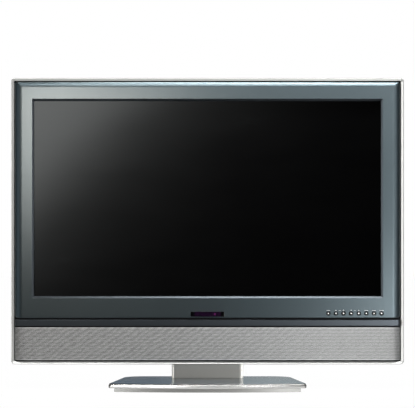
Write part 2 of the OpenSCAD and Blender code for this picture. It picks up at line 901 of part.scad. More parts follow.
module lamp_holders() {
  color("#f0f0ec") difference() {
    round_screen(glass_w, glass_h, [diffuser_d1, tray_d0]);
    round_screen(glass_w - 2 * holder_w, glass_h + over, [diffuser_d1 - over, tray_d0 + over]);
    lamp_row(lamp_r + screw_clear, glass_w + over);
  }
}

module backlight_lamps() {
  color("#fafaf5") lamp_row(lamp_r, lamp_l);
}

module reflector_tray() {
  gap = frame_t + fit_gap;
  color("#b9bcbe") difference() {
    round_screen(module_w - 2 * gap, module_h - 2 * gap, [diffuser_d1, tray_d1]);
    round_screen(module_w - 2 * (gap + tray_t), module_h - 2 * (gap + tray_t), [diffuser_d1 - over, tray_d0]);
  }
}

rail_z0 = bracket_z0;
rail_z1 = mount_z + chassis_h / 2;

module rail(s) {
  color("#a9acae") difference() {
    block([s * rail_x - rail_w / 2, s * rail_x + rail_w / 2], [tray_d1, rail_d1], [rail_z0, rail_z1]);
    block([s * rail_x - rail_w / 2 + rail_t, s * rail_x + rail_w / 2 - rail_t],
      [tray_d1 - over, rail_d1 - rail_t], [rail_z0 - over, rail_z1 + over]);
  }
}

module left_rail() { rail(-1); }
module right_rail() { rail(1); }

module chassis_plate() {
  color("#b3b6b8") bar(chassis_w, [rail_d1, chassis_d1], [mount_z - chassis_h / 2, mount_z + chassis_h / 2]);
}

module at_mount() {
  for (x = mid(0, mount_w), z = mid(mount_z, mount_h)) point_back(x, chassis_d1, z) children();
}

module mount_inserts() {
  insert_l = back_d - chassis_d1;
  bore_l = 20;
  color("#c6c8ca") at_mount() difference() {
    cylinder(h = insert_l, r = mount_r);
    translate([0, 0, insert_l - bore_l]) cylinder(h = bore_l + over, r = mount_bore_r);
  }
}

module stand_bracket() {
  color("#8f9294") difference() {
    bar(2 * rail_x + rail_w, [rail_d1, pocket_d0], [bracket_z0, bracket_z1]);
    rods_back(bolts, bolt_hole_r, rail_d1 - over, pocket_d0 + over);
  }
}

// A board with its soldered parts. The power side is at +X and the signal side at -X.
power_x0 = board_in - board_w;
can_r = 11;
can_h = 20;
can_pitch = 30;
part_h = 18;
chip_w = 44;
chip_h = 4;
chip_drop = 50;
fin_t = 2;
fin_h = 14;
fin_pitch = 6;

module power_board() {
  // Each part's middle across and up, then its width and height, as shares of the board's
  parts = [[0.4, 0.42, 0.3, 0.18], [0.4, 0.73, 0.36, 0.19], [0.72, 0.55, 0.04, 0.5]];
  can_row = 1 / 6;
  foot_d = board_d1 - board_t / 2;
  middle = power_x0 + board_w / 2;
  color("#b08d4a") union() {
    block([power_x0, board_in], [board_d0, board_d1], [board_z0, board_z0 + power_board_h]);
    for (i = [-1:1])
      rod_back(middle + i * can_pitch, board_z0 + can_row * power_board_h, can_r, foot_d, board_d1 + can_h);
    for (p = parts) block(
      mid(power_x0 + p[0] * board_w, p[2] * board_w), [foot_d, board_d1 + part_h],
      mid(board_z0 + p[1] * power_board_h, p[3] * power_board_h)
    );
  }
}

module main_board() {
  chip_x = -board_in + board_w / 2;
  chip_z = board_z0 + main_board_h - chip_drop;
  foot_d = board_d1 - board_t / 2;
  color("#2f6b46") union() {
    block([-board_in, -board_in + board_w], [board_d0, board_d1], [board_z0, board_z0 + main_board_h]);
    block(mid(chip_x, chip_w), [foot_d, board_d1 + chip_h], mid(chip_z, chip_w));
    for (i = [-3:3])
      block(mid(chip_x + i * fin_pitch, fin_t), [board_d1, board_d1 + fin_h], mid(chip_z, chip_w));
  }
}

module board_spacers() {
  color("#c9a94e") {
    for (x = [spacer_in, board_w - spacer_in], z = [spacer_in, power_board_h - spacer_in])
      rod_back(power_x0 + x, board_z0 + z, spacer_r, chassis_d1, board_d0);
    for (x = [spacer_in, board_w - spacer_in], z = [spacer_in, main_board_h - spacer_in])
      rod_back(-board_in + x, board_z0 + z, spacer_r, chassis_d1, board_d0);
  }
}

coil_w = 15;
coil_h = 10;
coil_count = 6;

module inverter_board() {
  d0 = tray_d1 + post_h;
  coil_x = inverter_x + inverter_w / 2;
  coil_pitch = inverter_h / coil_count;
  low = screen_zc - inverter_h / 2;
  color("#3f7a54") union() {
    block([inverter_x, inverter_x + inverter_w], [d0, d0 + board_t], [low, low + inverter_h]);
    for (x = [spacer_in, inverter_w - spacer_in], z = [spacer_in, inverter_h - spacer_in])
      rod_back(inverter_x + x, low + z, spacer_r, tray_d1, d0 + board_t / 2);
    for (i = [0:coil_count - 1]) block(
      mid(coil_x, coil_w), [d0 + board_t / 2, d0 + board_t + coil_h],
      mid(low + (i + 0.5) * coil_pitch, coil_w)
    );
  }
}

module at_video() {
  for (i = [0, 1]) translate([video_x0 + i * video_pitch, 0, video_row_z]) children();
}

phonos = [for (i = [0:phono_count - 1]) [io_x + (i - (phono_count - 1) / 2) * phono_pitch, phono_row_z]];

module io_plate() {
  color("#c2c4c6") difference() {
    block(mid(io_x, io_w + 2 * io_edge), [cover_in_d - io_t, cover_in_d], mid(io_z, io_h + 2 * io_edge));
    at_video() bar(video_w + 2 * fit_gap, past([cover_in_d - io_t, cover_in_d]), mid(0, video_h + 2 * fit_gap));
    rods_back(phonos, phono_r + fit_gap, cover_in_d - io_t - over, cover_in_d + over);
    rod_back(antenna_x, video_row_z, antenna_r + fit_gap, cover_in_d - io_t - over, cover_in_d + over);
  }
}

module video_sockets() {
  mouth = 10;
  tongue_t = 1.4;
  tongue_in = 3;
  tongue_back = 1.5;
  end_d = back_d - video_recess;
  color("#bfc2c4") at_video() difference() {
    bar(video_w, [board_d1, end_d], mid(0, video_h));
    difference() {
      bar(video_w - 2 * video_shell, [end_d - mouth, end_d + over], mid(0, video_h - 2 * video_shell));
      bar(video_w - tongue_in, [end_d - mouth - over, end_d - tongue_back], mid(0, tongue_t));
    }
  }
}

module phono_jacks() {
  seat_d = cover_in_d - io_t - fit_gap;
  end_d = back_d + phono_proud;
  color("#d8d2c0") for (p = phonos) difference() {
    union() {
      block(mid(p[0], phono_block), [board_d1, seat_d], mid(p[1], phono_block));
      rod_back(p[0], p[1], phono_r, seat_d - over, end_d);
    }
    rod_back(p[0], p[1], phono_bore_r, end_d - phono_bore, end_d + over);
  }
}

module antenna_socket() {
  seat_d = cover_in_d - io_t - fit_gap;
  color("#c9cbcc") union() {
    block(mid(antenna_x, antenna_block), [board_d1, seat_d], mid(video_row_z, antenna_block));
    rod_back(antenna_x, video_row_z, antenna_r, seat_d - over, back_d + antenna_proud);
  }
}

module mains_inlet() {
  end_d = back_d + inlet_flange_t;
  floor_d = end_d - plug_d;
  hollow = [floor_d, end_d + over];
  color("#1c1d1f") difference() {
    union() {
      block(mid(inlet_x, inlet_body_w), [end_d - inlet_body_d, end_d], mid(inlet_z, inlet_body_h));
      block(mid(inlet_x, inlet_body_w + 2 * inlet_flange), [back_d, end_d],
        mid(inlet_z, inlet_body_h + 2 * inlet_flange));
    }
    difference() {
      block(mid(plug_x, plug_w), hollow, mid(inlet_z, plug_h));
      for (i = [-1:1]) block(mid(plug_x + i * blade_x, blade_w), [floor_d - over, floor_d + blade_l],
        mid(inlet_z + (i == 0 ? blade_z : -blade_z), blade_h));
    }
    block(mid(well_x, well_w), hollow, mid(inlet_z, well_l));
    translate([well_x - well_w / 2 - rocker_axle_l, at(rocker_axis_d), inlet_z]) rotate([0, 90, 0])
      cylinder(h = well_w + 2 * rocker_axle_l, r = rocker_axle_r + rocker_axle_clear);
  }
}

// Rocker with a raised face on each side of its axle, at rest with its upper end pressed in
module mains_rocker() {
  half = rocker_l / 2 - rocker_end;
  axle_l = rocker_w + 2 * (fit_gap + rocker_axle_l - rocker_axle_play);
  color("#2a2b2d") translate([well_x, at(rocker_axis_d), inlet_z]) rotate([rocker_rest, 0, 0]) union() {
    rotate([90, 0, 90]) linear_extrude(rocker_w, center = true) polygon([
      [rocker_crown, -half],
      [rocker_crown - rocker_dip, 0],
      [rocker_crown, half],
      [0, half],
      [-rocker_keel, rocker_keel_w / 2],
      [-rocker_keel, -rocker_keel_w / 2],
      [0, -half]
    ]);
    translate([-axle_l / 2, 0, 0]) rotate([0, 90, 0]) cylinder(h = axle_l, r = rocker_axle_r);
  }
}

// The raised back at depth d, with its sides moved in by inset
function bulge_share(d) = (d - cover_d1) / (back_d - cover_d1);
function bulge_x(d, inset) = set_w / 2 - bulge_side - bulge_run * bulge_share(d) - inset;
function bulge_z(d, inset) = [
  set_z0 + bulge_foot + bulge_foot_run * bulge_share(d) + inset,
  set_z1 - bulge_head - bulge_head_run * bulge_share(d) - inset
];

module bulge(d0, d1, inset) {
  frustum(d0, bulge_x(d0, inset), bulge_z(d0, inset), d1, bulge_x(d1, inset), bulge_z(d1, inset));
}

module vents(count, x, z) {
  for (i = [0:count - 1]) translate([x + (i - (count - 1) / 2) * vent_pitch, 0, 0])
    bar(vent_w, past([cover_in_d, back_d]), mid(z, vent_h));
}

module rear_cover() {
  slope_wall = 1.25 * cover_wall;
  color("#35373a") difference() {
    union() {
      difference() {
        union() {
          run_back(rim_d1, cover_d1) set_outline(cover_inset);
          bulge(cover_d1 - over, back_d, 0);
        }
        bulge(rim_d1 - over, cover_in_d, slope_wall);
      }
      intersection() {
        bulge(cover_d1, back_d, 0);
        bar(2 * (pocket_x + cover_wall), [pocket_d0, back_d + over], [set_z0, pocket_top + cover_wall]);
      }
    }
    bar(2 * pocket_x, [pocket_d1, back_d + over], [set_z0 - over, pocket_top]);
    rods_back(bolts, bolt_hole_r, pocket_d0 - over, pocket_d1 + over);
    rods_back(concat(bezel_screws, foot_screws), screw_hole_r, rim_d1 - over, cover_d1 + over);
    at_mount() cylinder(h = back_d - chassis_d1 + over, r = mount_r + fit_gap);
    block(mid(io_x, io_w), past([cover_in_d, back_d]), mid(io_z, io_h));
    block(mid(inlet_x, inlet_body_w + 2 * fit_gap), past([cover_in_d, back_d]),
      mid(inlet_z, inlet_body_h + 2 * fit_gap));
    vents(vent_count, 0, vent_top_z);
    vents(vent_foot_count, io_x, vent_foot_z);
  }
}

module cover_screws() {
  places = concat(bezel_screws, foot_screws);
  color("#8c8f91") {
    rods_back(places, screw_r, bezel_depth - screw_bite, cover_d1 + screw_head_h / 2);
    rods_back(places, screw_head_r, cover_d1, cover_d1 + screw_head_h);
  }
}

// Plan of the neck, moved in by inset
module neck_plan(inset) {
  translate([0, at(neck_d0) + neck_d / 2]) round_rect(neck_w - 2 * inset, neck_d - 2 * inset, neck_r - inset);
}

module neck_sleeve() {
  translate([0, 0, plate_z1]) linear_extrude(neck_top - plate_z1) difference() {
    neck_plan(0);
    neck_plan(neck_wall);
  }
}

neck_split = neck_d0 + neck_d / 2;
neck_seam = 0.2;

module neck_front_cover() {
  color("#8b8b87") difference() {
    neck_sleeve();
    bar(neck_w + 2 * over, [neck_split - neck_seam / 2, back_d + over], [plate_z1 - over, neck_top + over]);
    rods_back(bolts, bolt_hole_r, neck_d0 - over, neck_d0 + neck_wall + over);
  }
}

module neck_rear_cover() {
  color("#77777a") difference() {
    neck_sleeve();
    bar(neck_w + 2 * over, [neck_d0 - over, neck_split + neck_seam / 2], [plate_z1 - over, neck_top + over]);
    rods_back(bolts, bolt_access_r, back_d - neck_wall - over, back_d + over);
  }
}

module neck_column() {
  foot_z1 = weight_z1 + column_t;
  color("#9a9da0") difference() {
    bar(2 * column_x, [column_d0, column_d2], [weight_z1, neck_top]);
    bar(2 * (column_x - column_t), [column_d1, column_d2 + over], [foot_z1, neck_top + over]);
    rods_back(bolts, bolt_hole_r, column_d0 - over, column_d1 + over);
    for (x = column_screws_x) translate([x, at(column_screws_d), weight_z1 - over])
      cylinder(h = column_t + 2 * over, r = column_screw_r + screw_clear);
  }
}

module column_screws() {
  color("#7d8082") for (x = column_screws_x) translate([x, at(column_screws_d), 0]) {
    translate([0, 0, weight_z0])
      cylinder(h = weight_t + column_t + column_screw_head_h / 2, r = column_screw_r);
    translate([0, 0, weight_z1 + column_t])
      cylinder(h = column_screw_head_h, r = column_screw_head_r);
  }
}

module stand_bolts() {
  color("#7d8082") {
    rods_back(bolts, bolt_r, rail_d1, column_d1 + bolt_head_h / 2);
    rods_back(bolts, bolt_head_r, column_d1, column_d1 + bolt_head_h);
  }
}

// One half of the base's plan from the middle of the front round to the back, moved in by inset
front_steps = 10;
corner_steps = 6;
function base_half(inset) =
  let (
    r1 = max(base_front_r - inset, 1),
    r2 = base_back_r - inset,
    fx = base_w / 2 - inset,
    fy = base_bow - base_d / 2 + inset,
    c1 = [fx - r1, fy + r1],
    c2 = [base_back_w / 2 - inset - r2, base_d / 2 - inset - r2],
    gap = c2 - c1,
    side = atan2(gap[1], gap[0]) - acos((r1 - r2) / norm(gap)),
    start = atan2(2 * base_bow, fx) - 90
  )
  concat(
    [for (i = [0:front_steps - 1]) [i / front_steps * c1[0], fy - base_bow * (1 - pow(i / front_steps, 2))]],
    [for (i = [0:corner_steps]) c1 + r1 * turn(start + (side - start) * i / corner_steps)],
    [for (i = [0:2 * corner_steps]) c2 + r2 * turn(side + (90 - side) * i / (2 * corner_steps))]
  );
function turn(a) = [cos(a), sin(a)];

module base_plan(inset) {
  half = base_half(inset);
  last = len(half) - 1;
  polygon(concat(half, [for (i = [last:-1:1]) [-half[i][0], half[i][1]]]));
}

module base_layer(inset, z0, z1) {
  translate([0, 0, z0]) linear_extrude(z1 - z0) base_plan(inset);
}

module base_rim() {
  slice = 0.05;
  ring_fit = ring_inset - fit_gap;
  color("#d4d4d0") difference() {
    hull() {
      base_layer(plate_edge, plate_z0, plate_z0 + slice);
      base_layer(0, plate_z0 + plate_edge, plate_z1 - plate_edge);
      base_layer(plate_edge, plate_z1 - slice, plate_z1);
    }
    base_layer(ring_fit, plate_z0 - over, plate_z1 + over);
    base_layer(top_inset - fit_gap, weight_z1, plate_z1 + over);
  }
}

module base_top_plate() {
  color("#6f808c") difference() {
    base_layer(top_inset, weight_z1, plate_z1);
    bar(2 * (column_x + fit_gap), [column_d0 - fit_gap, column_d2 + fit_gap], past([weight_z1, plate_z1]));
    translate([0, 0, weight_z1 - over]) cylinder(h = over + cap_lift + cap_h + cap_room, r = cap_r + over);
  }
}

module base_weight() {
  color("#84888a") difference() {
    base_layer(ring_inset, weight_z0, weight_z1);
    translate([0, 0, weight_z0 - over]) cylinder(h = weight_t + 2 * over, r = pivot_r + pivot_clear);
    translate([0, -stop_radius, weight_z0 - over])
      cylinder(h = weight_t + 2 * over, r = stop_r + pivot_clear);
    for (x = column_screws_x) translate([x, at(column_screws_d), weight_z0 - over])
      cylinder(h = weight_t + 2 * over, r = column_screw_r + screw_clear);
  }
}

module stop_pin() {
  pin_z0 = plinth_z1 - plinth_t + fit_gap;
  color("#c3c6c8") translate([0, -stop_radius, pin_z0]) cylinder(h = weight_z1 - pin_z0, r = stop_r);
}

module pivot_post() {
  top = weight_z1 + cap_lift;
  wall_z0 = plinth_z1 - plinth_t;
  color("#b5b8ba") difference() {
    union() {
      translate([0, 0, wall_z0 - post_flange_h]) cylinder(h = top - wall_z0 + post_flange_h, r = pivot_r);
      translate([0, 0, wall_z0 - post_flange_h]) cylinder(h = post_flange_h, r = post_flange_r);
    }
    translate([0, 0, wall_z0 - post_flange_h - over])
      cylinder(h = top - wall_z0 + post_flange_h + 2 * over, r = cap_shank_r + pivot_clear);
  }
}

module pivot_cap_screw() {
  top = weight_z1 + cap_lift;
  low = plinth_z1 - plinth_t - post_flange_h;
  color("#9ea1a3") union() {
    translate([0, 0, low]) cylinder(h = top - low + cap_h / 2, r = cap_shank_r);
    translate([0, 0, top]) cylinder(h = cap_h, r = cap_r);
  }
}

module swivel_glide() {
  color("#ededea") translate([0, 0, plinth_z1]) difference() {
    cylinder(h = weight_z0 - plinth_z1 - glide_lift, r = glide_r1);
    translate([0, 0, -over]) cylinder(h = weight_z0 - plinth_z1 + 2 * over, r = glide_r0);
  }
}

// Curved slot in which the stop pin runs
module stop_slot() {
  end = swivel_range + stop_slack;
  half_w = stop_r + stop_clear;
  depth = plinth_t + 2 * over;
  translate([0, 0, plinth_z1 - plinth_t - over]) {
    rotate([0, 0, -90 - end]) rotate_extrude(angle = 2 * end)
      translate([stop_radius - half_w, 0]) square([2 * half_w, depth]);
    for (a = [-end, end]) rotate([0, 0, a]) translate([0, -stop_radius, 0]) cylinder(h = depth, r = half_w);
  }
}

module plinth() {
  wall_z0 = plinth_z1 - plinth_t;
  color("#a9aaa8") difference() {
    union() {
      difference() {
        base_layer(plinth_inset, foot_h, plinth_z1);
        base_layer(plinth_inset + plinth_t, foot_h - over, wall_z0);
      }
      for (p = foot_places) translate([p[0], p[1], foot_h])
        cylinder(h = plinth_h - plinth_t / 2, r = foot_r + foot_boss);
    }
    for (p = foot_places) translate([p[0], p[1], foot_h - over])
      cylinder(h = foot_sink + over, r = foot_r + screw_clear);
    translate([0, 0, wall_z0 - over]) cylinder(h = plinth_t + 2 * over, r = pivot_r + pivot_clear);
    stop_slot();
  }
}

module rubber_feet() {
  color("#1a1a1b") for (p = foot_places) translate([p[0], p[1], 0])
    cylinder(h = foot_h + foot_sink, r = foot_r);
}

plinth();
rubber_feet();
pivot_post();
pivot_cap_screw();
swivel_glide();
base_rim();
base_top_plate();
base_weight();
stop_pin();
neck_column();
neck_front_cover();
neck_rear_cover();
column_screws();
stand_bolts();
stand_bracket();
left_rail();
right_rail();
chassis_plate();
mount_inserts();
silver_surround();
front_bezel();
accent_bar();
speaker_grille();
speaker_baffle();
left_speaker_frame();
left_speaker_cone();
right_speaker_frame();
right_speaker_cone();
ir_window();
ir_board();
key_board();
key_switches();
source_key();
volume_down_key();
volume_up_key();
channel_down_key();
channel_up_key();
menu_key();
enter_key();
power_key();
panel_frame();
panel_glass();
diffuser_plate();
lamp_holders();
backlight_lamps();
reflector_tray();
inverter_board();
board_spacers();
power_board();
main_board();
io_plate();
video_sockets();
phono_jacks();
antenna_socket();
mains_inlet();
mains_rocker();
rear_cover();
cover_screws();
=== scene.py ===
"""Flat screen television on a two-tier swivel stand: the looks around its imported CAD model.

Numbers are in millimetres in the CAD frame, and the meshes are in metres. +Z is up, the screen faces -Y,
and depth is the distance behind the flat front of the bezel.
"""
import math

import bmesh
import bpy
import numpy as np
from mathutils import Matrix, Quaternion, Vector
from mathutils.geometry import tessellate_polygon


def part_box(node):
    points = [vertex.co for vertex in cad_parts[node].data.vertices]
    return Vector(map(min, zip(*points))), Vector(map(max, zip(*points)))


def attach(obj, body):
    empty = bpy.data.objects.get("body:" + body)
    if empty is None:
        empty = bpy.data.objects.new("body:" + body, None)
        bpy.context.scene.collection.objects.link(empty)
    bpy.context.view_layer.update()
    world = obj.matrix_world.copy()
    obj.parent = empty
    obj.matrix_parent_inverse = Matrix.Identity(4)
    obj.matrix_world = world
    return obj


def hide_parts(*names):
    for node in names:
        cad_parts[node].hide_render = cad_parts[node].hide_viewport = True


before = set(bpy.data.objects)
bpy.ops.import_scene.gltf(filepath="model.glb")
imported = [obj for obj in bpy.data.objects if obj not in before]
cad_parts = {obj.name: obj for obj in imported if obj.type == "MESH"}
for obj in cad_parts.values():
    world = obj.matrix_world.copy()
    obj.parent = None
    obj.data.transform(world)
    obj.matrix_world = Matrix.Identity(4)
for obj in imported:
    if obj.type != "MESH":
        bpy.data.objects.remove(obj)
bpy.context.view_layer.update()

MM = 0.001


def node_box(node):
    """A CAD node's lowest and highest corners, in millimetres."""
    low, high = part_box(node)
    return np.array(low) / MM, np.array(high) / MM


bezel_low, bezel_high = node_box("front_bezel")
rim_low, rim_high = node_box("silver_surround")
accent_low, accent_high = node_box("accent_bar")
grille_low, grille_high = node_box("speaker_grille")
window_low, window_high = node_box("ir_window")
glass_low, glass_high = node_box("panel_glass")
neck_low, neck_high = node_box("neck_front_cover")
plate_low, plate_high = node_box("base_rim")
top_low = node_box("base_top_plate")[0]
plinth_high = node_box("plinth")[1]
face_y = bezel_low[1]

bezel_half = bezel_high[0]
lip_w, lip_d = 3.6, 6.0
glass_border = 9.0
screen_half = glass_high[0] - glass_border
screen_z0, screen_z1 = glass_low[2] + glass_border, glass_high[2] - glass_border
wall = 2.5
window_half = window_high[0] - 2.0
window_z0, window_z1 = 145.4, 155.4
KEYS = ["source", "volume_down", "volume_up", "channel_down", "channel_up", "menu", "enter", "power"]
key_boxes = [node_box(name + "_key") for name in KEYS]
key_x = [(low[0] + high[0]) / 2 for low, high in key_boxes]
key_z = (key_boxes[0][0][2] + key_boxes[0][1][2]) / 2
key_r, key_hole_r = 3.3, 3.55
JACK_PITCH = 16.0
JACKS = [(-244 + JACK_PITCH * i, 240.75) for i in range(5)]


# Meshes

def quads(rows, columns, close_rows=False, close_columns=False):
    """Faces of a grid of rows x columns points: point (i, j) joins (i, j+1), (i+1, j+1) and (i+1, j)."""
    i = np.arange(rows if close_rows else rows - 1)[:, None]
    j = np.arange(columns if close_columns else columns - 1)[None, :]
    ii, jj = (i + 1) % rows, (j + 1) % columns
    corners = [i * columns + j, i * columns + jj, ii * columns + jj, ii * columns + j]
    return np.stack([np.broadcast_to(c, (i.size, j.size)) for c in corners], -1).reshape(-1, 4)


def outline(half, low, high, radii, steps=6):
    """Rounded rectangle, half wide each side of x = 0: corner centre + radius (cos a, sin a), where a runs a
    quarter turn at the lower right, upper right, upper left and lower left corner in turn."""
    radii = np.broadcast_to(np.asarray(radii, float), 4)
    centre_x = np.array([1, 1, -1, -1]) * (half - radii)
    centre_z = np.array([low, high, high, low]) + np.array([1, -1, -1, 1]) * radii
    angle = np.radians([-90, 0, 90, 180])[:, None] + np.linspace(0, np.pi / 2, steps + 1)
    x = centre_x[:, None] + radii[:, None] * np.cos(angle)
    z = centre_z[:, None] + radii[:, None] * np.sin(angle)
    return np.stack([x.ravel(), z.ravel()], 1)


def circle(x, z, r, count=32):
    """Closed loop (x + r cos a, z + r sin a)."""
    angle = np.linspace(0, 2 * np.pi, count, endpoint=False)
    return np.stack([x + r * np.cos(angle), z + r * np.sin(angle)], 1)


def upright(loop, depth):
    """A loop of (x, z) points stood up at a depth behind the bezel's face."""
    return np.column_stack([loop[:, 0], np.broadcast_to(face_y + depth, len(loop)), loop[:, 1]])


def level(loop, z):
    """A loop of (x, y) points laid flat at height z."""
    return np.column_stack([loop, np.full(len(loop), z)])


def loft(rings, close_rows=False):
    """Surface through loops of equal length: row i is loop i, and each row closes on itself."""
    points = np.stack(rings)
    return points.reshape(-1, 3), quads(*points.shape[:2], close_rows=close_rows, close_columns=True)


def cap(*loops):
    """Flat face inside the first loop and outside the others, as triangles."""
    triangles = tessellate_polygon([[Vector(p) for p in loop] for loop in loops])
    return np.concatenate(loops), np.array(triangles)


def tube(loop, d0, d1):
    """Wall of a hole: the loop of (x, z) points run from one depth to another."""
    return loft([upright(loop, d0), upright(loop, d1)])


def turned(profile, x, z, count=40):
    """Body of revolution about an axis that points back: (x + r cos a, depth, z + r sin a) over the profile's
    (r, depth) pairs, whose ends lie on the axis."""
    return loft([upright(circle(x, z, max(r, 1e-4), count), d) for r, d in profile])


def prism(loop, d0, d1):
    """Closed plate with an outline of (x, z) points, between two depths."""
    front, back = upright(loop, d0), upright(loop, d1)
    return [loft([front, back]), cap(front), cap(back)]


def piece(name, parts, finish, body="set", replaces=(), sharp=35, weighted=True):
    """One object from parts, each a pair of points and faces in millimetres, welded where they meet and
    turned outwards. It rides on a body and stands for the CAD nodes that it replaces."""
    mesh = bpy.data.meshes.new(name)
    bm = bmesh.new()
    for points, faces in parts:
        patch = bpy.data.meshes.new("patch")
        patch.from_pydata(np.asarray(points) * MM, [], np.asarray(faces).tolist())
        bm.from_mesh(patch)
        bpy.data.meshes.remove(patch)
    bmesh.ops.remove_doubles(bm, verts=bm.verts, dist=2e-6)
    bmesh.ops.dissolve_degenerate(bm, edges=bm.edges, dist=1e-6)
    bmesh.ops.recalc_face_normals(bm, faces=bm.faces)
    bm.to_mesh(mesh)
    bm.free()
    mesh.polygons.foreach_set("use_smooth", np.ones(len(mesh.polygons), bool))
    mesh.set_sharp_from_angle(angle=math.radians(sharp))
    mesh.materials.append(finish)
    obj = bpy.data.objects.new(name, mesh)
    bpy.context.scene.collection.objects.link(obj)
    if weighted:
        modifier = obj.modifiers.new("even_normals", "WEIGHTED_NORMAL")
        modifier.keep_sharp = True
    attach(obj, body)
    if replaces:
        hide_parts(*replaces)
    return obj


# Finishes

class Wire:
    """A shader value that takes part in Python arithmetic: each operation adds a Math node."""

    def __init__(self, nodes, socket):
        self.nodes, self.socket = nodes, socket

    def math(self, operation, *others):
        return self.nodes.add("Math", {"operation": operation}, dict(enumerate((self, *others))))

    def __add__(self, other):
        return self.math("ADD", other)

    __radd__ = __add__

    def __mul__(self, other):
        return self.math("MULTIPLY", other)

    __rmul__ = __mul__

    def __sub__(self, other):
        return self.math("SUBTRACT", other)

    def __rsub__(self, other):
        return self * -1 + other

    def __gt__(self, other):
        return self.math("GREATER_THAN", other)

    def __lt__(self, other):
        return self.math("LESS_THAN", other)

    def __pow__(self, other):
        return self.math("POWER", other)

    def size(self):
        return self.math("ABSOLUTE")

    def wrap(self, period):
        return self.math("FLOORED_MODULO", period)

    def clip(self, low, high):
        """0 below low, 1 above high, and a smooth step between."""
        return self.nodes.add("MapRange", {"interpolation_type": "SMOOTHSTEP"}, {0: self, 1: low, 2: high})

    def ramp(self, low, high, top=1.0):
        """0 below low, top above high, and a straight ramp between."""
        return self.nodes.add("MapRange", {}, {0: self, 1: low, 2: high, 4: top})


class Nodes:
    """A node tree whose sockets take numbers or Wires, with one kind of coordinates as its place."""

    def __init__(self, tree, coordinates):
        self.tree = tree
        self.place = self.add("TexCoord", {}, {}, coordinates)

    def add(self, kind, settings, sockets, output=0):
        """A node of that kind: its settings come first, then its sockets' values or links."""
        node = self.tree.nodes.new("ShaderNode" + kind)
        for key, value in settings.items():
            setattr(node, key, value)
        for key, value in sockets.items():
            self.feed(node.inputs[key], value)
        return Wire(self, node.outputs[output])

    def feed(self, socket, value):
        """Links a Wire to a socket, or sets its value."""
        if isinstance(value, Wire):
            self.tree.links.new(value.socket, socket)
        else:
            socket.default_value = value

    def axis(self, name):
        """One of the place's X, Y and Z."""
        return self.add("SeparateXYZ", {}, {0: self.place}, name)

    def mix(self, share, first, second):
        """Colour that goes from first to second as share goes from 0 to 1."""
        return self.add("Mix", {"data_type": "RGBA"}, {0: share, 6: first, 7: second}, 2)

    def blend(self, share, first, second):
        """Number that goes from first to second as share goes from 0 to 1."""
        return self.add("Mix", {}, {0: share, 2: first, 3: second})

    def seen(self, *rays):
        """1 for those kinds of ray, 0 for the rest."""
        total, *others = [self.add("LightPath", {}, {}, f"Is {ray} Ray") for ray in rays]
        for other in others:
            total = total.math("MAXIMUM", other)
        return total


class Finish(Nodes):
    """A material with one Principled shader."""

    def __init__(self, name, **fixed):
        self.material = bpy.data.materials.new(name)
        self.material.use_nodes = True
        super().__init__(self.material.node_tree, "Object")
        self.shader = self.tree.nodes["Principled BSDF"]
        for socket, value in fixed.items():
            self.set(socket, value)

    def set(self, socket, value):
        """Feeds a socket of the shader, named with underscores for spaces."""
        self.feed(self.shader.inputs[socket.replace("_", " ").title().replace("Ior", "IOR")], value)

    def show(self, shader):
        """Shows another shader in the place of the Principled one."""
        self.feed(self.tree.nodes["Material Output"].inputs["Surface"], shader)

    def stretched(self, x, y, z):
        """Object coordinates multiplied along each axis."""
        return self.add("VectorMath", {"operation": "MULTIPLY"}, {0: self.place, 1: (x, y, z)})

    def noise(self, scale, detail=3.0, place=None):
        """Noise from 0 to 1 with features of about 1/scale metres."""
        return self.add("TexNoise", {}, {"Vector": place or self.place, "Scale": scale, "Detail": detail})

    def edge(self, radius):
        """1 where the surface turns within a radius, 0 on the flat."""
        rounded = self.add("Bevel", {"samples": 4}, {"Radius": radius})
        flat = self.add("NewGeometry", {}, {}, "Normal")
        same = self.add("VectorMath", {"operation": "DOT_PRODUCT"}, {0: rounded, 1: flat}, "Value")
        return (1 - same).clip(0.01, 0.2)

    def bump(self, height, distance):
        """Height from 0 to 1 over a distance in metres, seen only in the shading."""
        self.set("normal", self.add("Bump", {}, {"Strength": 1.0, "Distance": distance, "Height": height}))


def rgb(*value, scale=1.0):
    """Colour with full alpha, made darker or lighter by a scale."""
    return (*[v * scale for v in value], 1.0)


def paint(name, colour, rough, metallic, flake=0.12, peel=0.00002, edge=0.0, **fixed):
    """Sprayed paint: fine flakes and broad clouds in the colour, orange peel in the surface, and edges that
    have been rubbed a little brighter."""
    f = Finish(name, metallic=metallic, **fixed)
    flakes = f.noise(2600, 1)
    clouds = f.noise(7, 4)
    tone = (flakes - 0.5) * flake + (clouds - 0.5) * 0.16
    colour_wire = f.mix((tone + 0.5).clip(0, 1), rgb(*colour, scale=0.86), rgb(*colour, scale=1.14))
    if edge:
        rubbed = f.edge(0.0008) * f.noise(120, 4).clip(0.35, 0.65) * edge
        colour_wire = f.mix(rubbed, colour_wire, rgb(*colour, scale=1.5))
    f.set("base_color", colour_wire)
    f.set("roughness", (clouds - 0.5) * 0.10 + (flakes - 0.5) * 0.06 + rough)
    f.bump(f.noise(900, 2) * 0.7 + flakes * 0.3, peel)
    return f.material


def plastic(name, colour, rough, grain=1400, depth=0.00004, **fixed):
    """Moulded plastic: an etched grain, and faint clouds in its tone and shine."""
    f = Finish(name, **fixed)
    etched = f.noise(grain, 2)
    clouds = f.noise(9, 5)
    tone = (clouds - 0.5) * 0.5 + (etched - 0.5) * 0.3 + 0.5
    f.set("base_color", f.mix(tone.clip(0, 1), rgb(*colour, scale=0.8), rgb(*colour, scale=1.25)))
    f.set("roughness", (clouds - 0.5) * 0.12 + (etched - 0.5) * 0.08 + rough)
    f.bump(etched, depth)
    return f.material


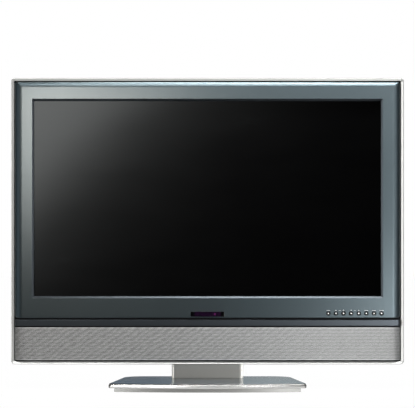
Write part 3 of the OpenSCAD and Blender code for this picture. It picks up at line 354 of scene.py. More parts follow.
def steel(name, colour, rough, stretch=(40, 40, 1600), **fixed):
    """Plated sheet: rolling lines along one direction and spangle in the plating."""
    f = Finish(name, metallic=1.0, **fixed)
    lines = f.noise(1, 3, f.stretched(*stretch))
    spangle = f.add("TexVoronoi", {}, {"Vector": f.place, "Scale": 160.0}, "Color")
    spangle = f.add("SeparateXYZ", {}, {0: spangle}, "X")
    tone = (lines - 0.5) * 0.5 + (spangle - 0.5) * 0.25 + 0.5
    f.set("base_color", f.mix(tone.clip(0, 1), rgb(*colour, scale=0.82), rgb(*colour, scale=1.12)))
    f.set("roughness", (lines - 0.5) * 0.2 + (spangle - 0.5) * 0.08 + rough)
    f.bump(lines, 0.00002)
    return f.material


def chrome(name, colour, rough):
    """Bright plating with faint smears and polishing marks."""
    f = Finish(name, metallic=1.0)
    smears = f.noise(260, 4)
    f.set("base_color", f.mix(smears.clip(0.3, 0.8), rgb(*colour), rgb(*colour, scale=0.9)))
    f.set("roughness", smears * 0.08 + rough)
    f.bump(f.noise(2200, 1), 0.000004)
    return f.material


def board(name, mask, track):
    """Circuit board: solder mask over copper tracks that run on a grid, with bright pads."""
    f = Finish(name, roughness=0.35)
    x, z = f.axis("X"), f.axis("Z")
    jitter = f.noise(90, 0) > 0.5
    tracks = (x.wrap(0.004) < 0.0012) * jitter + (z.wrap(0.004) < 0.0012) * (1 - jitter)
    pads = f.add("TexVoronoi", {}, {"Vector": f.place, "Scale": 220.0, "Randomness": 0.4}, "Distance") < 0.16
    pads = pads * (f.noise(60, 1) > 0.52)
    colour = f.mix(tracks, rgb(*mask), rgb(*track))
    f.set("base_color", f.mix(pads, colour, rgb(0.62, 0.62, 0.60)))
    f.set("metallic", pads * 0.9)
    f.set("roughness", f.noise(300, 3) * 0.2 + 0.25)
    f.bump(tracks * 0.5 + pads, 0.00005)
    return f.material


bezel_paint = paint("bezel_paint", (0.049, 0.075, 0.087), 0.39, 1.0, flake=0.25,
                    coat_weight=1.0, coat_roughness=0.35)
accent_paint = paint("accent_paint", (0.064, 0.077, 0.090), 0.41, 1.0, flake=0.2,
                     coat_weight=0.5, coat_roughness=0.38)
silver_paint = paint("silver_paint", (0.52, 0.525, 0.51), 0.46, 0.7, edge=0.2)
band_silver = paint("band_silver", (0.62, 0.62, 0.605), 0.28, 0.85)
# Neck paint: a warm grey set paler than the silver so that the neck under the set comes out light, partly its
# own colour and partly painted light
neck_paint = paint("neck_paint", (0.69, 0.685, 0.645), 0.42, 0.3, edge=0.2)
plinth_paint = paint("plinth_paint", (0.40, 0.40, 0.385), 0.38, 0.5)
back_plastic = plastic("back_plastic", (0.034, 0.036, 0.040), 0.55, grain=900, depth=0.00012)
inlet_plastic = plastic("inlet_plastic", (0.014, 0.014, 0.015), 0.45)
white_plastic = plastic("white_plastic", (0.78, 0.78, 0.75), 0.45)
foot_rubber = plastic("foot_rubber", (0.012, 0.012, 0.012), 0.8, grain=2200, depth=0.0001)
sheet_steel = steel("sheet_steel", (0.45, 0.46, 0.47), 0.36)
socket_metal = chrome("socket_metal", (0.62, 0.63, 0.64), 0.16)
board_green = board("board_green", (0.012, 0.085, 0.034), (0.035, 0.17, 0.07))
board_tan = board("board_tan", (0.30, 0.17, 0.055), (0.42, 0.27, 0.10))
spacer_brass = steel("spacer_brass", (0.60, 0.44, 0.17), 0.3, stretch=(1600, 40, 1600))
basket_paint = paint("basket_paint", (0.045, 0.047, 0.050), 0.5, 0.3)
cone_paper = plastic("cone_paper", (0.016, 0.017, 0.019), 0.85, grain=3000, depth=0.0001)
black_gloss = plastic("black_gloss", (0.008, 0.008, 0.009), 0.18, grain=500, depth=0.000004)
matt_black = plastic("matt_black", (0.003, 0.003, 0.0035), 0.8, grain=2200, specular_ior_level=0.12)
mark_print = plastic("mark_print", (0.82, 0.84, 0.86), 0.5, grain=5000, depth=0.000004)


def screen_finish():
    """Picture panel: black, with a fine anti-glare haze that softens what it mirrors, and faint wiping
    marks."""
    f = Finish("screen_glass", specular_ior_level=0.38, specular_tint=(0.78, 0.91, 1.0, 1.0))
    haze = f.noise(5200, 1)
    wiped = f.noise(1, 4, f.stretched(5, 5, 16))
    f.set("base_color", f.mix(wiped, rgb(0.0010, 0.0010, 0.0012), rgb(0.0018, 0.0018, 0.0020)))
    f.set("roughness", (wiped - 0.5) * 0.06 + (haze - 0.5) * 0.05 + 0.256)
    f.bump(haze, 0.000004)
    return f.material


def window_finish():
    """Remote control window: deep purple plastic, black towards its ends, with a faint lens behind it."""
    f = Finish("window_tint", coat_weight=0.4, coat_roughness=0.05)
    lens_x, lens_z = 0.0150, (window_z0 + window_z1) / 2 * MM
    ends = f.axis("X").size().clip(0.0245, 0.0275)
    glow = f.noise(140, 3).clip(0.35, 0.75)
    purple = f.mix(glow, rgb(0.004, 0.0015, 0.007), rgb(0.019, 0.005, 0.024))
    x, z = f.axis("X") - lens_x, f.axis("Z") - lens_z
    lens = 1 - ((x * x + z * z) ** 0.5).clip(0.0012, 0.0030)
    purple = f.mix(lens, purple, rgb(0.10, 0.016, 0.085))
    f.set("base_color", f.mix(ends, purple, rgb(0.0015, 0.0015, 0.002)))
    f.set("roughness", f.noise(60, 3) * 0.1 + 0.12)
    f.bump(f.noise(400, 2), 0.000004)
    return f.material


def key_finish():
    """Cap of a key: pale satin that stands in for the glint of its chrome (a painted highlight), and a
    shoulder painted black as shade round the cap. The distance from the nearest key's axis parts the two.
    """
    f = Finish("key_chrome", specular_ior_level=0.2)
    pitch = (key_x[1] - key_x[0]) * MM
    x = (f.axis("X") - (key_x[0] * MM - pitch / 2)).wrap(pitch) - pitch / 2
    z = f.axis("Z") - key_z * MM
    # Painted shade: the outer shoulder of each key is coloured black, as shade and dark reflection round the
    # cap
    shaded_shoulder = ((x * x + z * z) ** 0.5).clip(0.0013, 0.0016)
    smears = f.noise(260, 4)
    # Painted highlight: the pale cap stands in for the bright glint of the chrome
    pale_glint_cap = f.mix(smears, rgb(0.9, 0.9, 0.9), rgb(0.78, 0.79, 0.8))
    f.set("base_color", f.mix(shaded_shoulder, pale_glint_cap, rgb(0.004, 0.004, 0.005)))
    f.set("metallic", (1 - shaded_shoulder) * 0.35)
    f.set("roughness", smears * 0.08 + shaded_shoulder * 0.5 + 0.24)
    f.bump(f.noise(2200, 1), 0.000004)
    return f.material


def gloss_finish():
    """Gloss top of the base: bluish grey lacquer with a soft shine and faint dust."""
    f = Finish("base_gloss")
    clouds = f.noise(9, 4)
    dust = f.noise(900, 2).clip(0.68, 0.8)
    colour = f.mix(clouds, rgb(0.045, 0.062, 0.078), rgb(0.060, 0.080, 0.096))
    f.set("base_color", f.mix(dust * 0.15, colour, rgb(0.5, 0.5, 0.5)))
    f.set("roughness", dust * 0.2 + clouds * 0.08 + 0.10)
    f.bump(f.noise(160, 2), 0.000006)
    return f.material


def lamp_finish():
    """Frosted lamp tube with darker ends."""
    f = Finish("lamp_glass", roughness=0.4)
    ends = f.axis("X").size().clip(0.335, 0.345)
    frost = f.noise(400, 3)
    glass = f.mix(frost, rgb(0.80, 0.80, 0.77), rgb(0.9, 0.9, 0.87))
    f.set("base_color", f.mix(ends, glass, rgb(0.35, 0.34, 0.32)))
    f.set("roughness", frost * 0.2 + 0.3)
    f.bump(frost, 0.00001)
    return f.material


def grille_finish():
    """Silver sheet of the grille: rows and slanting ripples in its tone, as in a fine woven mesh,
    and painted shade that darkens it towards the turned ends."""
    f = Finish("grille_paint", metallic=0.3)
    x, z = f.axis("X"), f.axis("Z")
    drift = f.noise(30, 2) - 0.5
    slant = (x * (2 * math.pi / 0.0165) - z * (2 * math.pi / 0.0113) + drift * 9).math("SINE")
    rows = (z * (2 * math.pi / 0.0063) + drift * 1.2).math("SINE")
    flakes = f.noise(2600, 1)
    strokes = f.noise(1, 2, f.stretched(90, 1, 320)) - 0.5
    near = 1 - x.clip(-0.1, 0.3) * 0.75
    tone = (slant * 0.17 + strokes * 1.1) * near + rows * 0.12 + (flakes - 0.5) * 0.2
    silver = f.mix((tone + 0.5).clip(0, 1), rgb(0.27, 0.276, 0.276), rgb(0.49, 0.498, 0.496))
    # Painted shade: the sheet's colour is mixed towards near black at its turned ends
    f.set("base_color", f.mix(x.size().clip(0.362, 0.396) * 0.38, silver, rgb(0.05, 0.055, 0.055)))
    f.set("roughness", flakes * 0.08 + 0.48)
    f.bump(flakes, 0.00001)
    return f.material


def jack_finish():
    """Plastic of the jacks' rings: green, blue, red, white and red from the first jack to the last."""
    f = Finish("jack_colours")
    x = f.axis("X")
    speckle = f.noise(1800, 2)
    shades = [rgb(0.02, 0.22, 0.06), rgb(0.02, 0.07, 0.36), rgb(0.42, 0.02, 0.02), rgb(0.72, 0.72, 0.70),
              rgb(0.42, 0.02, 0.02)]
    colour = shades[0]
    for (jack, _), shade in zip(JACKS, shades[1:]):
        colour = f.mix(x > (jack + JACK_PITCH / 2) * MM, colour, shade)
    f.set("base_color", f.mix((speckle - 0.3) * 0.3, colour, rgb(0.05, 0.05, 0.05)))
    f.set("roughness", speckle * 0.1 + 0.3)
    f.bump(speckle, 0.00001)
    return f.material


grille_paint = grille_finish()
jack_colours = jack_finish()
screen_glass = screen_finish()
window_tint = window_finish()
base_gloss = gloss_finish()
key_chrome = key_finish()
lamp_glass = lamp_finish()

CARRIED = {
    sheet_steel: "panel_frame reflector_tray left_rail right_rail chassis_plate stand_bracket neck_column "
    "base_weight pivot_post pivot_cap_screw stop_pin mount_inserts column_screws stand_bolts io_plate "
    "video_sockets",
    socket_metal: "antenna_socket phono_jacks",
    screen_glass: "panel_glass",
    back_plastic: "rear_cover",
    inlet_plastic: "mains_inlet mains_rocker key_switches",
    white_plastic: "diffuser_plate lamp_holders swivel_glide",
    lamp_glass: "backlight_lamps",
    board_green: "ir_board key_board main_board inverter_board",
    board_tan: "power_board",
    spacer_brass: "board_spacers",
    basket_paint: "left_speaker_frame right_speaker_frame",
    # The baffle wears the cones' near-black paper so that the groove and the grille's holes come out darker:
    # painted shade
    cone_paper: "speaker_baffle left_speaker_cone right_speaker_cone",
    foot_rubber: "rubber_feet",
    neck_paint: "neck_rear_cover",
}
for finish, names in CARRIED.items():
    for name in names.split():
        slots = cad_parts[name].data.materials
        slots.clear()
        slots.append(finish)


# Front of the set

BEVEL_DEPTH, SIDE_BEVEL, TOP_BEVEL = 8.0, 16.0, 12.0


def bevel_curve(share):
    """Depth of the curved front edge at a share of its width from the flat front: a shallow parabola with a
    tight turn at the outer edge, bow share^2 + (depth - bow) share^14."""
    bow = 5.6
    return bow * share ** 2 + (BEVEL_DEPTH - bow) * share ** 14


def edge_round(radius, depth):
    """Inset of a quarter-round edge at a depth: r - sqrt(r^2 - (r - depth)^2), and none past the radius."""
    left = np.clip(radius - depth, 0, radius)
    return radius - np.sqrt(radius ** 2 - left ** 2)


def picture_ring(gap, depth):
    """Outline a gap outside the picture's edge, and a little more at the top."""
    loop = outline(screen_half + gap, screen_z0 - gap, screen_z1 + 1.25 * gap, 0.3 + 0.2 * gap)
    return upright(loop, depth)


def picture_lip():
    """Sloping lip between the flat front and the picture: a triangular profile of (gap, depth, depth at the
    top) carried round the opening."""
    profile = [(lip_w + 0.3, 0.06, 0.06), (lip_w + 0.05, 0.25, 0.25), (0.5, 3.6, 5.5), (0.25, 4.1, 5.8),
               (0.2, lip_d, lip_d), (lip_w + 0.3, lip_d, lip_d)]
    upper = np.repeat([0.0, 1.0, 1.0, 0.0], 7)
    rings = [picture_ring(g, d + (top_d - d) * upper) for g, d, top_d in profile]
    piece("picture_lip", [loft(rings, close_rows=True)], accent_paint)


def bezel():
    """Front frame: nested outlines run from the back of its outer wall over the curved edges to the flat
    front, then down to the lip round the picture and back inside. Key holes and the window's hole pierce
    the flat."""
    low, high = bezel_low[2], bezel_high[2]
    rings = [(bezel_half, low, high, 5, bezel_high[1] - face_y)]
    for share in 1 - np.linspace(0, 1, 30) ** 1.5:
        d = bevel_curve(share)
        lower_r, upper_r = 0.6 + 4.4 * share, 0.9 + 4.1 * share
        rings.append((bezel_half - SIDE_BEVEL * (1 - share), low + edge_round(0.9, d),
                      high - TOP_BEVEL * (1 - share), (lower_r, upper_r, upper_r, lower_r), d))
    outer = [upright(outline(*r[:4]), r[4]) for r in rings]
    lip = [(lip_w + 0.5, 0.0), (lip_w + 0.3, 0.06), (lip_w + 0.3, lip_d), (lip_w + wall, lip_d),
           (lip_w + wall, wall)]
    inner = [picture_ring(g, d) for g, d in lip]
    inside = [(bezel_half - SIDE_BEVEL - 1, low + wall, high - TOP_BEVEL - 1, wall),
              (bezel_half - wall, low + wall, high - wall, BEVEL_DEPTH + wall),
              (bezel_half - wall, low + wall, high - wall, bezel_high[1] - face_y)]
    shell = [upright(outline(half, z0, z1, 2.5), d) for half, z0, z1, d in inside]
    holes = [circle(x, key_z, key_hole_r) for x in key_x]
    gap = 0.3
    holes.append(outline(window_half + gap, window_z0 - gap, window_z1 + gap, 0.8))
    parts = [loft(outer), loft(inner), loft(shell + [outer[0]])]
    parts.append(cap(outer[-1], inner[0], *[upright(h, 0) for h in holes]))
    parts.append(cap(shell[0], inner[-1], *[upright(h, wall) for h in holes]))
    parts += [tube(h, 0, wall) for h in holes]
    piece("bezel_shell", parts, bezel_paint, replaces=["front_bezel"])


def surround():
    """Silver frame round the front: outlines run forward along the outer wall, round the front edge, across
    the narrow face and back inside. The face slopes inwards, but hardly at the top, where it is lifted."""
    back = rim_high[1] - face_y
    front = rim_low[1] - face_y
    low, high, half = rim_low[2], rim_high[2], rim_high[0]
    edge, width, thick, tilt, lifted = 1.5, 6.0, 4.0, 2.2, 1.8
    turn = np.linspace(0, np.pi / 2, 9)
    profile = [(0.0, back, 0), (0.0, back - 1, 0)]
    profile += [(edge * (1 - math.cos(a)), front + edge * (1 - math.sin(a)), 0) for a in turn]
    profile += [(width - 0.5, front + tilt, lifted), (width - 0.15, front + tilt + 0.15, lifted),
                (width, front + tilt + 0.5, lifted), (width, front + thick, 0),
                (thick, front + thick, 0), (thick, back, 0)]
    steps = 6
    top = np.concatenate([np.zeros(steps + 1), np.linspace(0, 1, steps + 1), np.linspace(1, 0, steps + 1),
                          np.zeros(steps + 1)])
    rings = []
    for inset, depth, lift in profile:
        loop = outline(half - inset, low + inset, high - inset, max(7 - 0.8 * inset, 1), steps)
        rings.append(upright(loop, depth - lift * top))
    piece("surround_shell", [loft(rings, close_rows=True)], silver_paint,
          replaces=["silver_surround"])


def accent():
    """Dark bar between the bezel and the grille: nested outlines with soft edges, whose ends turn back with
    an inset of turn (1 - sqrt(depth / turn_d))."""
    front, back = accent_low[1] - face_y, accent_high[1] - face_y
    low, high = accent_low[2] + 0.5, accent_high[2]
    turn, turn_d = 4.0, 3.0
    rings = []
    for d in np.concatenate([[back], front + turn_d * np.linspace(1, 0, 24) ** 2]):
        inset = turn * (1 - math.sqrt(min((d - front) / turn_d, 1)))
        soft = edge_round(0.6, d - front)
        rings.append(upright(outline(bezel_half - 1.0 - inset, low + soft, high - soft, 0.4), d))
    piece("accent_strip", [loft(rings), cap(rings[-1]), cap(rings[0])], accent_paint,
          replaces=["accent_bar"])


def keys():
    """Domed keys: a turned profile with a flat dome and a rolled edge, depth 0.5 t^2 + 0.9 t^8 over a share t
    of the radius, then the flange behind the bezel and a stem."""
    flange_r, flange_d0, flange_d1, stem_r = key_r + 1, 2.6, 3.6, 2.0
    for name, x, (low, high) in zip(KEYS, key_x, key_boxes):
        front, back = low[1] - face_y, high[1] - face_y
        profile = [(key_r * t, front + 0.5 * t ** 2 + 0.9 * t ** 8) for t in np.linspace(0, 1, 15)]
        profile += [(key_r, flange_d0), (flange_r, flange_d0), (flange_r, flange_d1), (stem_r, flange_d1),
                    (stem_r, back), (0.0, back)]
        piece(name + "_dome", [turned(profile, x, key_z)], key_chrome, name + "_button",
              [name + "_key"])


def shade_rings():
    """Black ring round each key, a dark piece that stands as painted shade in the gap round it: a turned lip
    that stands a little proud of the bezel.
    """
    ring = [(key_hole_r, 0.6), (key_hole_r, 0.1), (key_hole_r + 0.2, -0.2), (key_hole_r + 0.8, -0.2),
            (key_hole_r + 1.1, 0.05), (key_hole_r + 1.1, 0.6)]
    parts = []
    for x in key_x:
        rows = [upright(circle(x, key_z, r, 40), d) for r, d in ring]
        parts.append(loft(rows, close_rows=True))
    # The black rings are painted shade in the gap round each key
    piece("key_shade_rings", parts, matt_black)


def marks():
    """Generic printed marks above the keys: bars, a minus, a plus and two arrows."""
    z = key_z + 5.9
    d0, d1 = -0.06, 0.2

    def bar(x, w, h=1.0):
        """Thin plate, w wide and h high, about x."""
        return prism(outline(w / 2, z - h / 2, z + h / 2, 0.12, 2) + (x, 0), d0, d1)

    def arrow(x, way):
        """Thin triangle about x that points up for 1 and down for -1."""
        corners = np.array([[x - 1.5, z - 1.0 * way], [x + 1.5, z - 1.0 * way], [x, z + 1.3 * way]])
        return prism(corners[::way], d0, d1)

    parts = bar(key_x[0], 7.0) + bar(key_x[1], 2.6, 1.4) + bar(key_x[2], 2.9, 1.2) + bar(key_x[2], 1.2, 2.9)
    parts += bar((key_x[1] + key_x[2]) / 2, 4.0, 0.7) + bar((key_x[3] + key_x[4]) / 2, 4.0, 0.7)
    parts += arrow(key_x[3], -1) + arrow(key_x[4], 1)
    parts += bar(key_x[5], 7.0) + bar(key_x[6], 8.0) + bar(key_x[7], 8.6)
    piece("key_marks", parts, mark_print, sharp=20)


def window():
    """Remote control window: nested outlines run forward along a bar and over its rounded front edge, whose
    depth is r (1 - sqrt(1 - (1 - t)^2)) at an inset of r t."""
    front, back = window_low[1] - face_y, window_high[1] - face_y
    r, turn = 0.5, np.linspace(0, 1, 6)
    profile = [(0.0, back), (0.0, front + r)]
    profile += [(r * t, front + r * (1 - math.sqrt(1 - (1 - t) ** 2))) for t in turn[1:]]
    rings = [upright(outline(window_half - i, window_z0 + i, window_z1 - i, 0.6), d) for i, d in profile]
    piece("window_lens", [loft(rings), cap(rings[-1]), cap(rings[0])], window_tint,
          replaces=["ir_window"])


# Speaker grille

HOLE_PITCH, HOLE_R, SHEET = 2.3, 0.72, 1.0
GRILLE_TURN = 16.0


def grille_profile():
    """Length along the grille's front against (x, depth): flat across, then turned back at the ends as the
    bezel's front edge is, over GRILLE_TURN."""
    front, back = grille_low[1] - face_y, grille_high[1] - face_y
    share = np.linspace(0, 1, 40)
    x = np.concatenate([[0.0], bezel_half - GRILLE_TURN * (1 - share), [bezel_half]])
    depth = np.concatenate([[front], front + (1 - front / BEVEL_DEPTH) * bevel_curve(share), [back]])
    length = np.concatenate([[0.0], np.cumsum(np.hypot(np.diff(x), np.diff(depth)))])
    return length, x, depth


grille_length, grille_x, grille_d = grille_profile()
grille_reach = grille_length[-2] + 1.0


def bent(along, up, behind):
    """Points of the sheet from lengths along it and heights: x and depth follow the profile, then move back
    along its normal."""
    run = np.abs(along)
    d = np.interp(run, grille_length, grille_d)
    slope = np.arctan2(np.interp(run + 0.05, grille_length, grille_d) - d, 0.05)
    x = np.sign(along) * (np.interp(run, grille_length, grille_x) - behind * np.sin(slope))
    return np.stack([x, face_y + d + behind * np.cos(slope), up], -1)


def grille():
    """Perforated sheet: a honeycomb of cells, each a ring between its own hexagon and a hexagonal hole, bent
    over the profile's ends. Cells past the edge are drawn in to it, and the rim cells keep no hole."""
    low, high = grille_low[2] + 1.0, grille_high[2] - 1.4
    row_pitch = HOLE_PITCH * math.sqrt(3) / 2
    rows = int((high - low) / row_pitch) + 1
    row_z = (low + high) / 2 + (np.arange(rows) - (rows - 1) / 2) * row_pitch
    columns = int(grille_reach / HOLE_PITCH) + 2
    i, j = np.meshgrid(np.arange(rows), np.arange(-columns, columns + 1), indexing="ij")
    s = (j + 0.5 * (i % 2)) * HOLE_PITCH
    z = row_z[i]
    angle = np.radians(30 + 60 * np.arange(6))
    cell = HOLE_PITCH / math.sqrt(3)
    corner_r, plain_s, plain_z = 3.0, 1.6, 1.2

    def drawn_in(along, up):
        """Points kept on the sheet: between its edges, and above a quarter circle at its lower corners."""
        along = np.clip(along, -grille_reach, grille_reach)
        over = np.clip(np.abs(along) - (grille_reach - corner_r), 0, corner_r)
        floor = low + corner_r - np.sqrt(np.maximum(corner_r ** 2 - over ** 2, 0))
        return along, np.maximum(np.clip(up, low, high), floor)

    edge_s = s[..., None] + cell * np.cos(angle)
    edge_z = z[..., None] + cell * np.sin(angle)
    whole = (np.abs(s) < grille_reach - plain_s) & (z > low + plain_z) & (z < high - plain_z)
    kept = np.abs(s) < grille_reach + cell
    for side, pick in (("left", s < 0), ("right", s >= 0)):
        pierced = whole & pick & kept
        outer = bent(*drawn_in(edge_s[pierced], edge_z[pierced]), 0.0)
        hole = drawn_in(s[pierced][:, None] + HOLE_R * np.cos(angle),
                        z[pierced][:, None] + HOLE_R * np.sin(angle))
        rim, deep = bent(*hole, 0.0), bent(*hole, SHEET)
        solid = ~whole & pick & kept
        plain = bent(*drawn_in(edge_s[solid], edge_z[solid]), 0.0)
        parts = [ring_cells(outer, rim), ring_cells(rim, deep),
                 (plain.reshape(-1, 3), np.arange(plain.shape[0] * 6).reshape(-1, 6))]
        piece(f"grille_mesh_{side}", parts, grille_paint, sharp=40, weighted=False)


def ring_cells(first, second):
    """Six quads between each pair of hexagons: (corner, next corner) of the first to those of the second."""
    count = len(first)
    points = np.concatenate([first.reshape(-1, 3), second.reshape(-1, 3)])
    base = 6 * np.arange(count)[:, None]
    k = np.arange(6)
    here, there = base + k, base + (k + 1) % 6
    faces = np.stack([here, there, there + 6 * count, here + 6 * count], -1)
    return points, faces.reshape(-1, 4)


def even(loop, count):
    """A closed loop of points set out again at equal steps along its length."""
    closed = np.concatenate([loop, loop[:1]])
    run = np.concatenate([[0.0], np.cumsum(np.hypot(*np.diff(closed, axis=0).T))])
    at = np.linspace(0, run[-1], count, endpoint=False)
    return np.stack([np.interp(at, run, closed[:, k]) for k in (0, 1)], 1)


def grille_frame():
    """Frame of the grille: a thin profile of (inset, distance behind the sheet) carried round its outline,
    bent as the sheet is."""
    low, high = grille_low[2] + 0.5, grille_high[2] - 0.9
    profile = [(0.0, 3.0), (0.0, 0.3), (0.3, 0.02), (1.4, 0.02), (1.6, 0.3), (1.6, 3.0)]
    rings = []
    for inset, behind in profile:
        radii = (3 - inset, 0.4, 0.4, 3 - inset)
        loop = outline(grille_reach + 0.3 - inset, low + inset, high - inset, radii)
        loop = even(loop, 900)
        rings.append(bent(loop[:, 0], loop[:, 1], behind))
    piece("grille_rim", [loft(rings, close_rows=True)], grille_paint,
          replaces=["speaker_grille"])


# Stand

BASE_W, BASE_BACK_W, BASE_D, BASE_BOW = 391.0, 344.0, 240.0, 18.0
FRONT_R, BACK_R = 6.0, 42.0


def base_loop(inset):
    """Plan of the base, moved in: a bowed front y = -bow (1 - t^2), a small front corner, a straight side
    that touches both corner circles, and a wide back corner, mirrored about x = 0."""
    r1, r2 = max(FRONT_R - inset, 1.0), BACK_R - inset
    fx, fy = BASE_W / 2 - inset, BASE_BOW - BASE_D / 2 + inset
    c1 = np.array([fx - r1, fy + r1])
    c2 = np.array([BASE_BACK_W / 2 - inset - r2, BASE_D / 2 - inset - r2])
    gap = c2 - c1
    side = math.atan2(gap[1], gap[0]) - math.acos((r1 - r2) / math.hypot(*gap))
    start = math.atan2(2 * BASE_BOW, fx) - math.pi / 2
    t = np.linspace(0, 1, 41)[1:-1]
    bow = np.stack([t * c1[0], fy - BASE_BOW * (1 - t ** 2)], 1)
    a1 = np.linspace(start, side, 13)
    a2 = np.linspace(side, math.pi / 2, 31)
    half = np.concatenate([bow, c1 + r1 * np.stack([np.cos(a1), np.sin(a1)], 1),
                           c2 + r2 * np.stack([np.cos(a2), np.sin(a2)], 1)])
    middle = np.array([[0.0, fy - BASE_BOW]])
    return np.concatenate([middle, half, half[::-1] * (-1, 1)])


def base():
    """Two tiers: a rounded profile carried round the plan, silver along the front and dark at the sides and
    back, the gloss top with its dark edge above it, and the plinth set in underneath. The rounded profile's
    inset is swell (1 - sqrt(1 - |t|^2.6)), where t runs from -1 to 1 up its height."""
    z0, z1 = plate_low[2] - 0.8, plate_high[2]
    seam = z1 - 1.3
    height, swell, inner = seam - z0, 2.0, 6.7
    profile = [(inner, z0)]
    profile += [(swell * (1 - math.sqrt(max(1 - abs(t) ** 2.6, 0))), z0 + height * (0.5 + 0.5 * t))
                for t in np.linspace(-1, 1, 17)]
    profile += [(inner, seam)]
    band = np.stack([level(base_loop(i), z) for i, z in profile], 1)
    tip = 44  # rows of the plan from the middle of the front to a tip of the silver
    front = np.concatenate([band[-tip:], band[:tip + 1]])
    sides = band[tip:len(band) - tip + 1]
    for name, rows, finish, slot, nodes in (("rim_band", front, band_silver, "silver_paint", ["base_rim"]),
                                            ("rim_sides", sides, black_gloss, "base_gloss", [])):
        piece(name, [loft(list(rows)), cap(rows[0]), cap(rows[-1])], finish, replaces=nodes)
    edge = [(1.6, seam + 0.05), (1.2, seam + 0.3), (1.2, z1 - 0.35), (1.5, z1 - 0.06), (3.0, z1 - 0.06),
            (3.0, seam + 0.05)]
    piece("top_edge", [loft([level(base_loop(i), z) for i, z in edge], close_rows=True)], black_gloss)
    top = [(3.3, top_low[2]), (3.05, seam + 0.05), (3.05, z1 - 0.1), (3.15, z1)]
    rings = [level(base_loop(i), z) for i, z in top]
    piece("top_gloss", [loft(rings), cap(rings[-1]), cap(rings[0])], base_gloss,
          replaces=["base_top_plate"])
    p0, p1 = 0.3, plinth_high[2] - 0.8
    foot = [(14.0, p1 - 1.5), (14.0, p0), (11.4, p0), (11.0, p0 + 0.4), (11.0, p1 - 0.4), (11.4, p1)]
    rings = [level(base_loop(i), z) for i, z in foot]
    piece("plinth_shell", [loft(rings), cap(rings[-1]), cap(rings[0])], plinth_paint, "foot",
          ["plinth"])


def neck():
    """Front cover of the neck: a wall carried along a path that runs round the front from seam to seam."""
    half, r = neck_high[0], 8.0
    y0, y1 = neck_low[1], neck_high[1]
    z0, z1 = neck_low[2], neck_high[2]
    turn = np.linspace(0, np.pi / 2, 13)

    def path(inset):
        """Straight side, quarter circle, front, quarter circle and straight side, moved in."""
        rr = r - inset
        cx, cy = half - r, y0 + r
        right = np.stack([cx + rr * np.cos(turn), cy - rr * np.sin(turn)], 1)
        return np.concatenate([[[half - inset, y1]], right, right[::-1] * (-1, 1), [[-half + inset, y1]]])

    loop = np.concatenate([path(0.0), path(wall)[::-1]])
    rings = [level(loop, z) for z in (z0, z0 + 0.3, z1)]
    piece("neck_front", [loft(rings), cap(rings[-1]), cap(rings[0])], neck_paint,
          replaces=["neck_front_cover"])


# Back of the set

cover_d = node_box("rear_cover")[1][1] - face_y
SCREWS = [(x, z) for x in (-382.05, 382.05) for z in (212.75, 382.75, 552.75)]
SCREWS += [(x, 612.3) for x in (-250, 0, 250)] + [(x, 61.2) for x in (-345.45, -150, 150, 345.45)]
MOUNTS = [(x, z) for x in (-100, 100) for z in (302.75, 402.75)]


def screw_heads():
    """Pan heads with a cross recess: over (radius, angle) the height is rise (1 - t^5)^0.4 less a dip along
    two crossed arms near the middle."""
    seat, head_r, rise = 47.5, 4.0, 2.5
    arm_half, arm_reach, arm_dip, soft = 0.8, 2.4, 1.4, 0.3
    share = np.array([0, 0.12, 0.24, 0.36, 0.44, 0.5, 0.56, 0.62, 0.7, 0.8, 0.9, 0.96, 0.99, 1.0])
    parts = []
    for i, (x, z) in enumerate(SCREWS):
        angle = np.linspace(0, 2 * np.pi, 48, endpoint=False) + 0.7 * i
        rings = []
        for t in share:
            u, w = np.abs(t * head_r * np.cos(angle)), np.abs(t * head_r * np.sin(angle))
            arms = np.clip((arm_half - np.minimum(u, w)) / soft, 0, 1)
            arms = arms * np.clip((arm_reach - t * head_r) / soft, 0, 1)
            depth = seat + rise * (1 - t ** 5) ** 0.4 - arm_dip * arms
            rings.append(upright(circle(x, z, max(t * head_r, 1e-4), 48), depth))
        parts += [loft(rings), cap(rings[-1])]
    piece("screw_heads", parts, sheet_steel, replaces=["cover_screws"], sharp=50)


def carried(profile, loop_at, seat=cover_d):
    """A closed profile of (grow, depth) pairs carried round the loops that loop_at gives for each grow. Its
    depths count from a seat, which is the raised back unless another is given."""
    return loft([upright(loop_at(g), seat + d) for g, d in profile], close_rows=True)


def back_trims():
    """Raised trims moulded on the back: rings round the wall mount's inserts, a border round the four of them
    and a smaller one round a bare place."""
    ring = [(7.2, -0.5), (7.2, 0.6), (7.6, 0.9), (9.4, 0.9), (10.2, 0.1), (10.2, -0.5)]
    parts = [carried(ring, lambda g, x=x, z=z: circle(x, z, g, 48)) for x, z in MOUNTS]
    ridge = [(0.0, -0.5), (0.0, 0.4), (0.5, 0.8), (2.3, 0.8), (2.8, 0.4), (2.8, -0.5)]
    for half, low, high, r, x in ((150, 262, 444, 14, 0), (48, 224, 284, 3, 240)):
        parts.append(carried(ridge, lambda g: outline(half + g, low - g, high + g, r + g) + (x, 0)))
    piece("back_trims", parts, back_plastic)


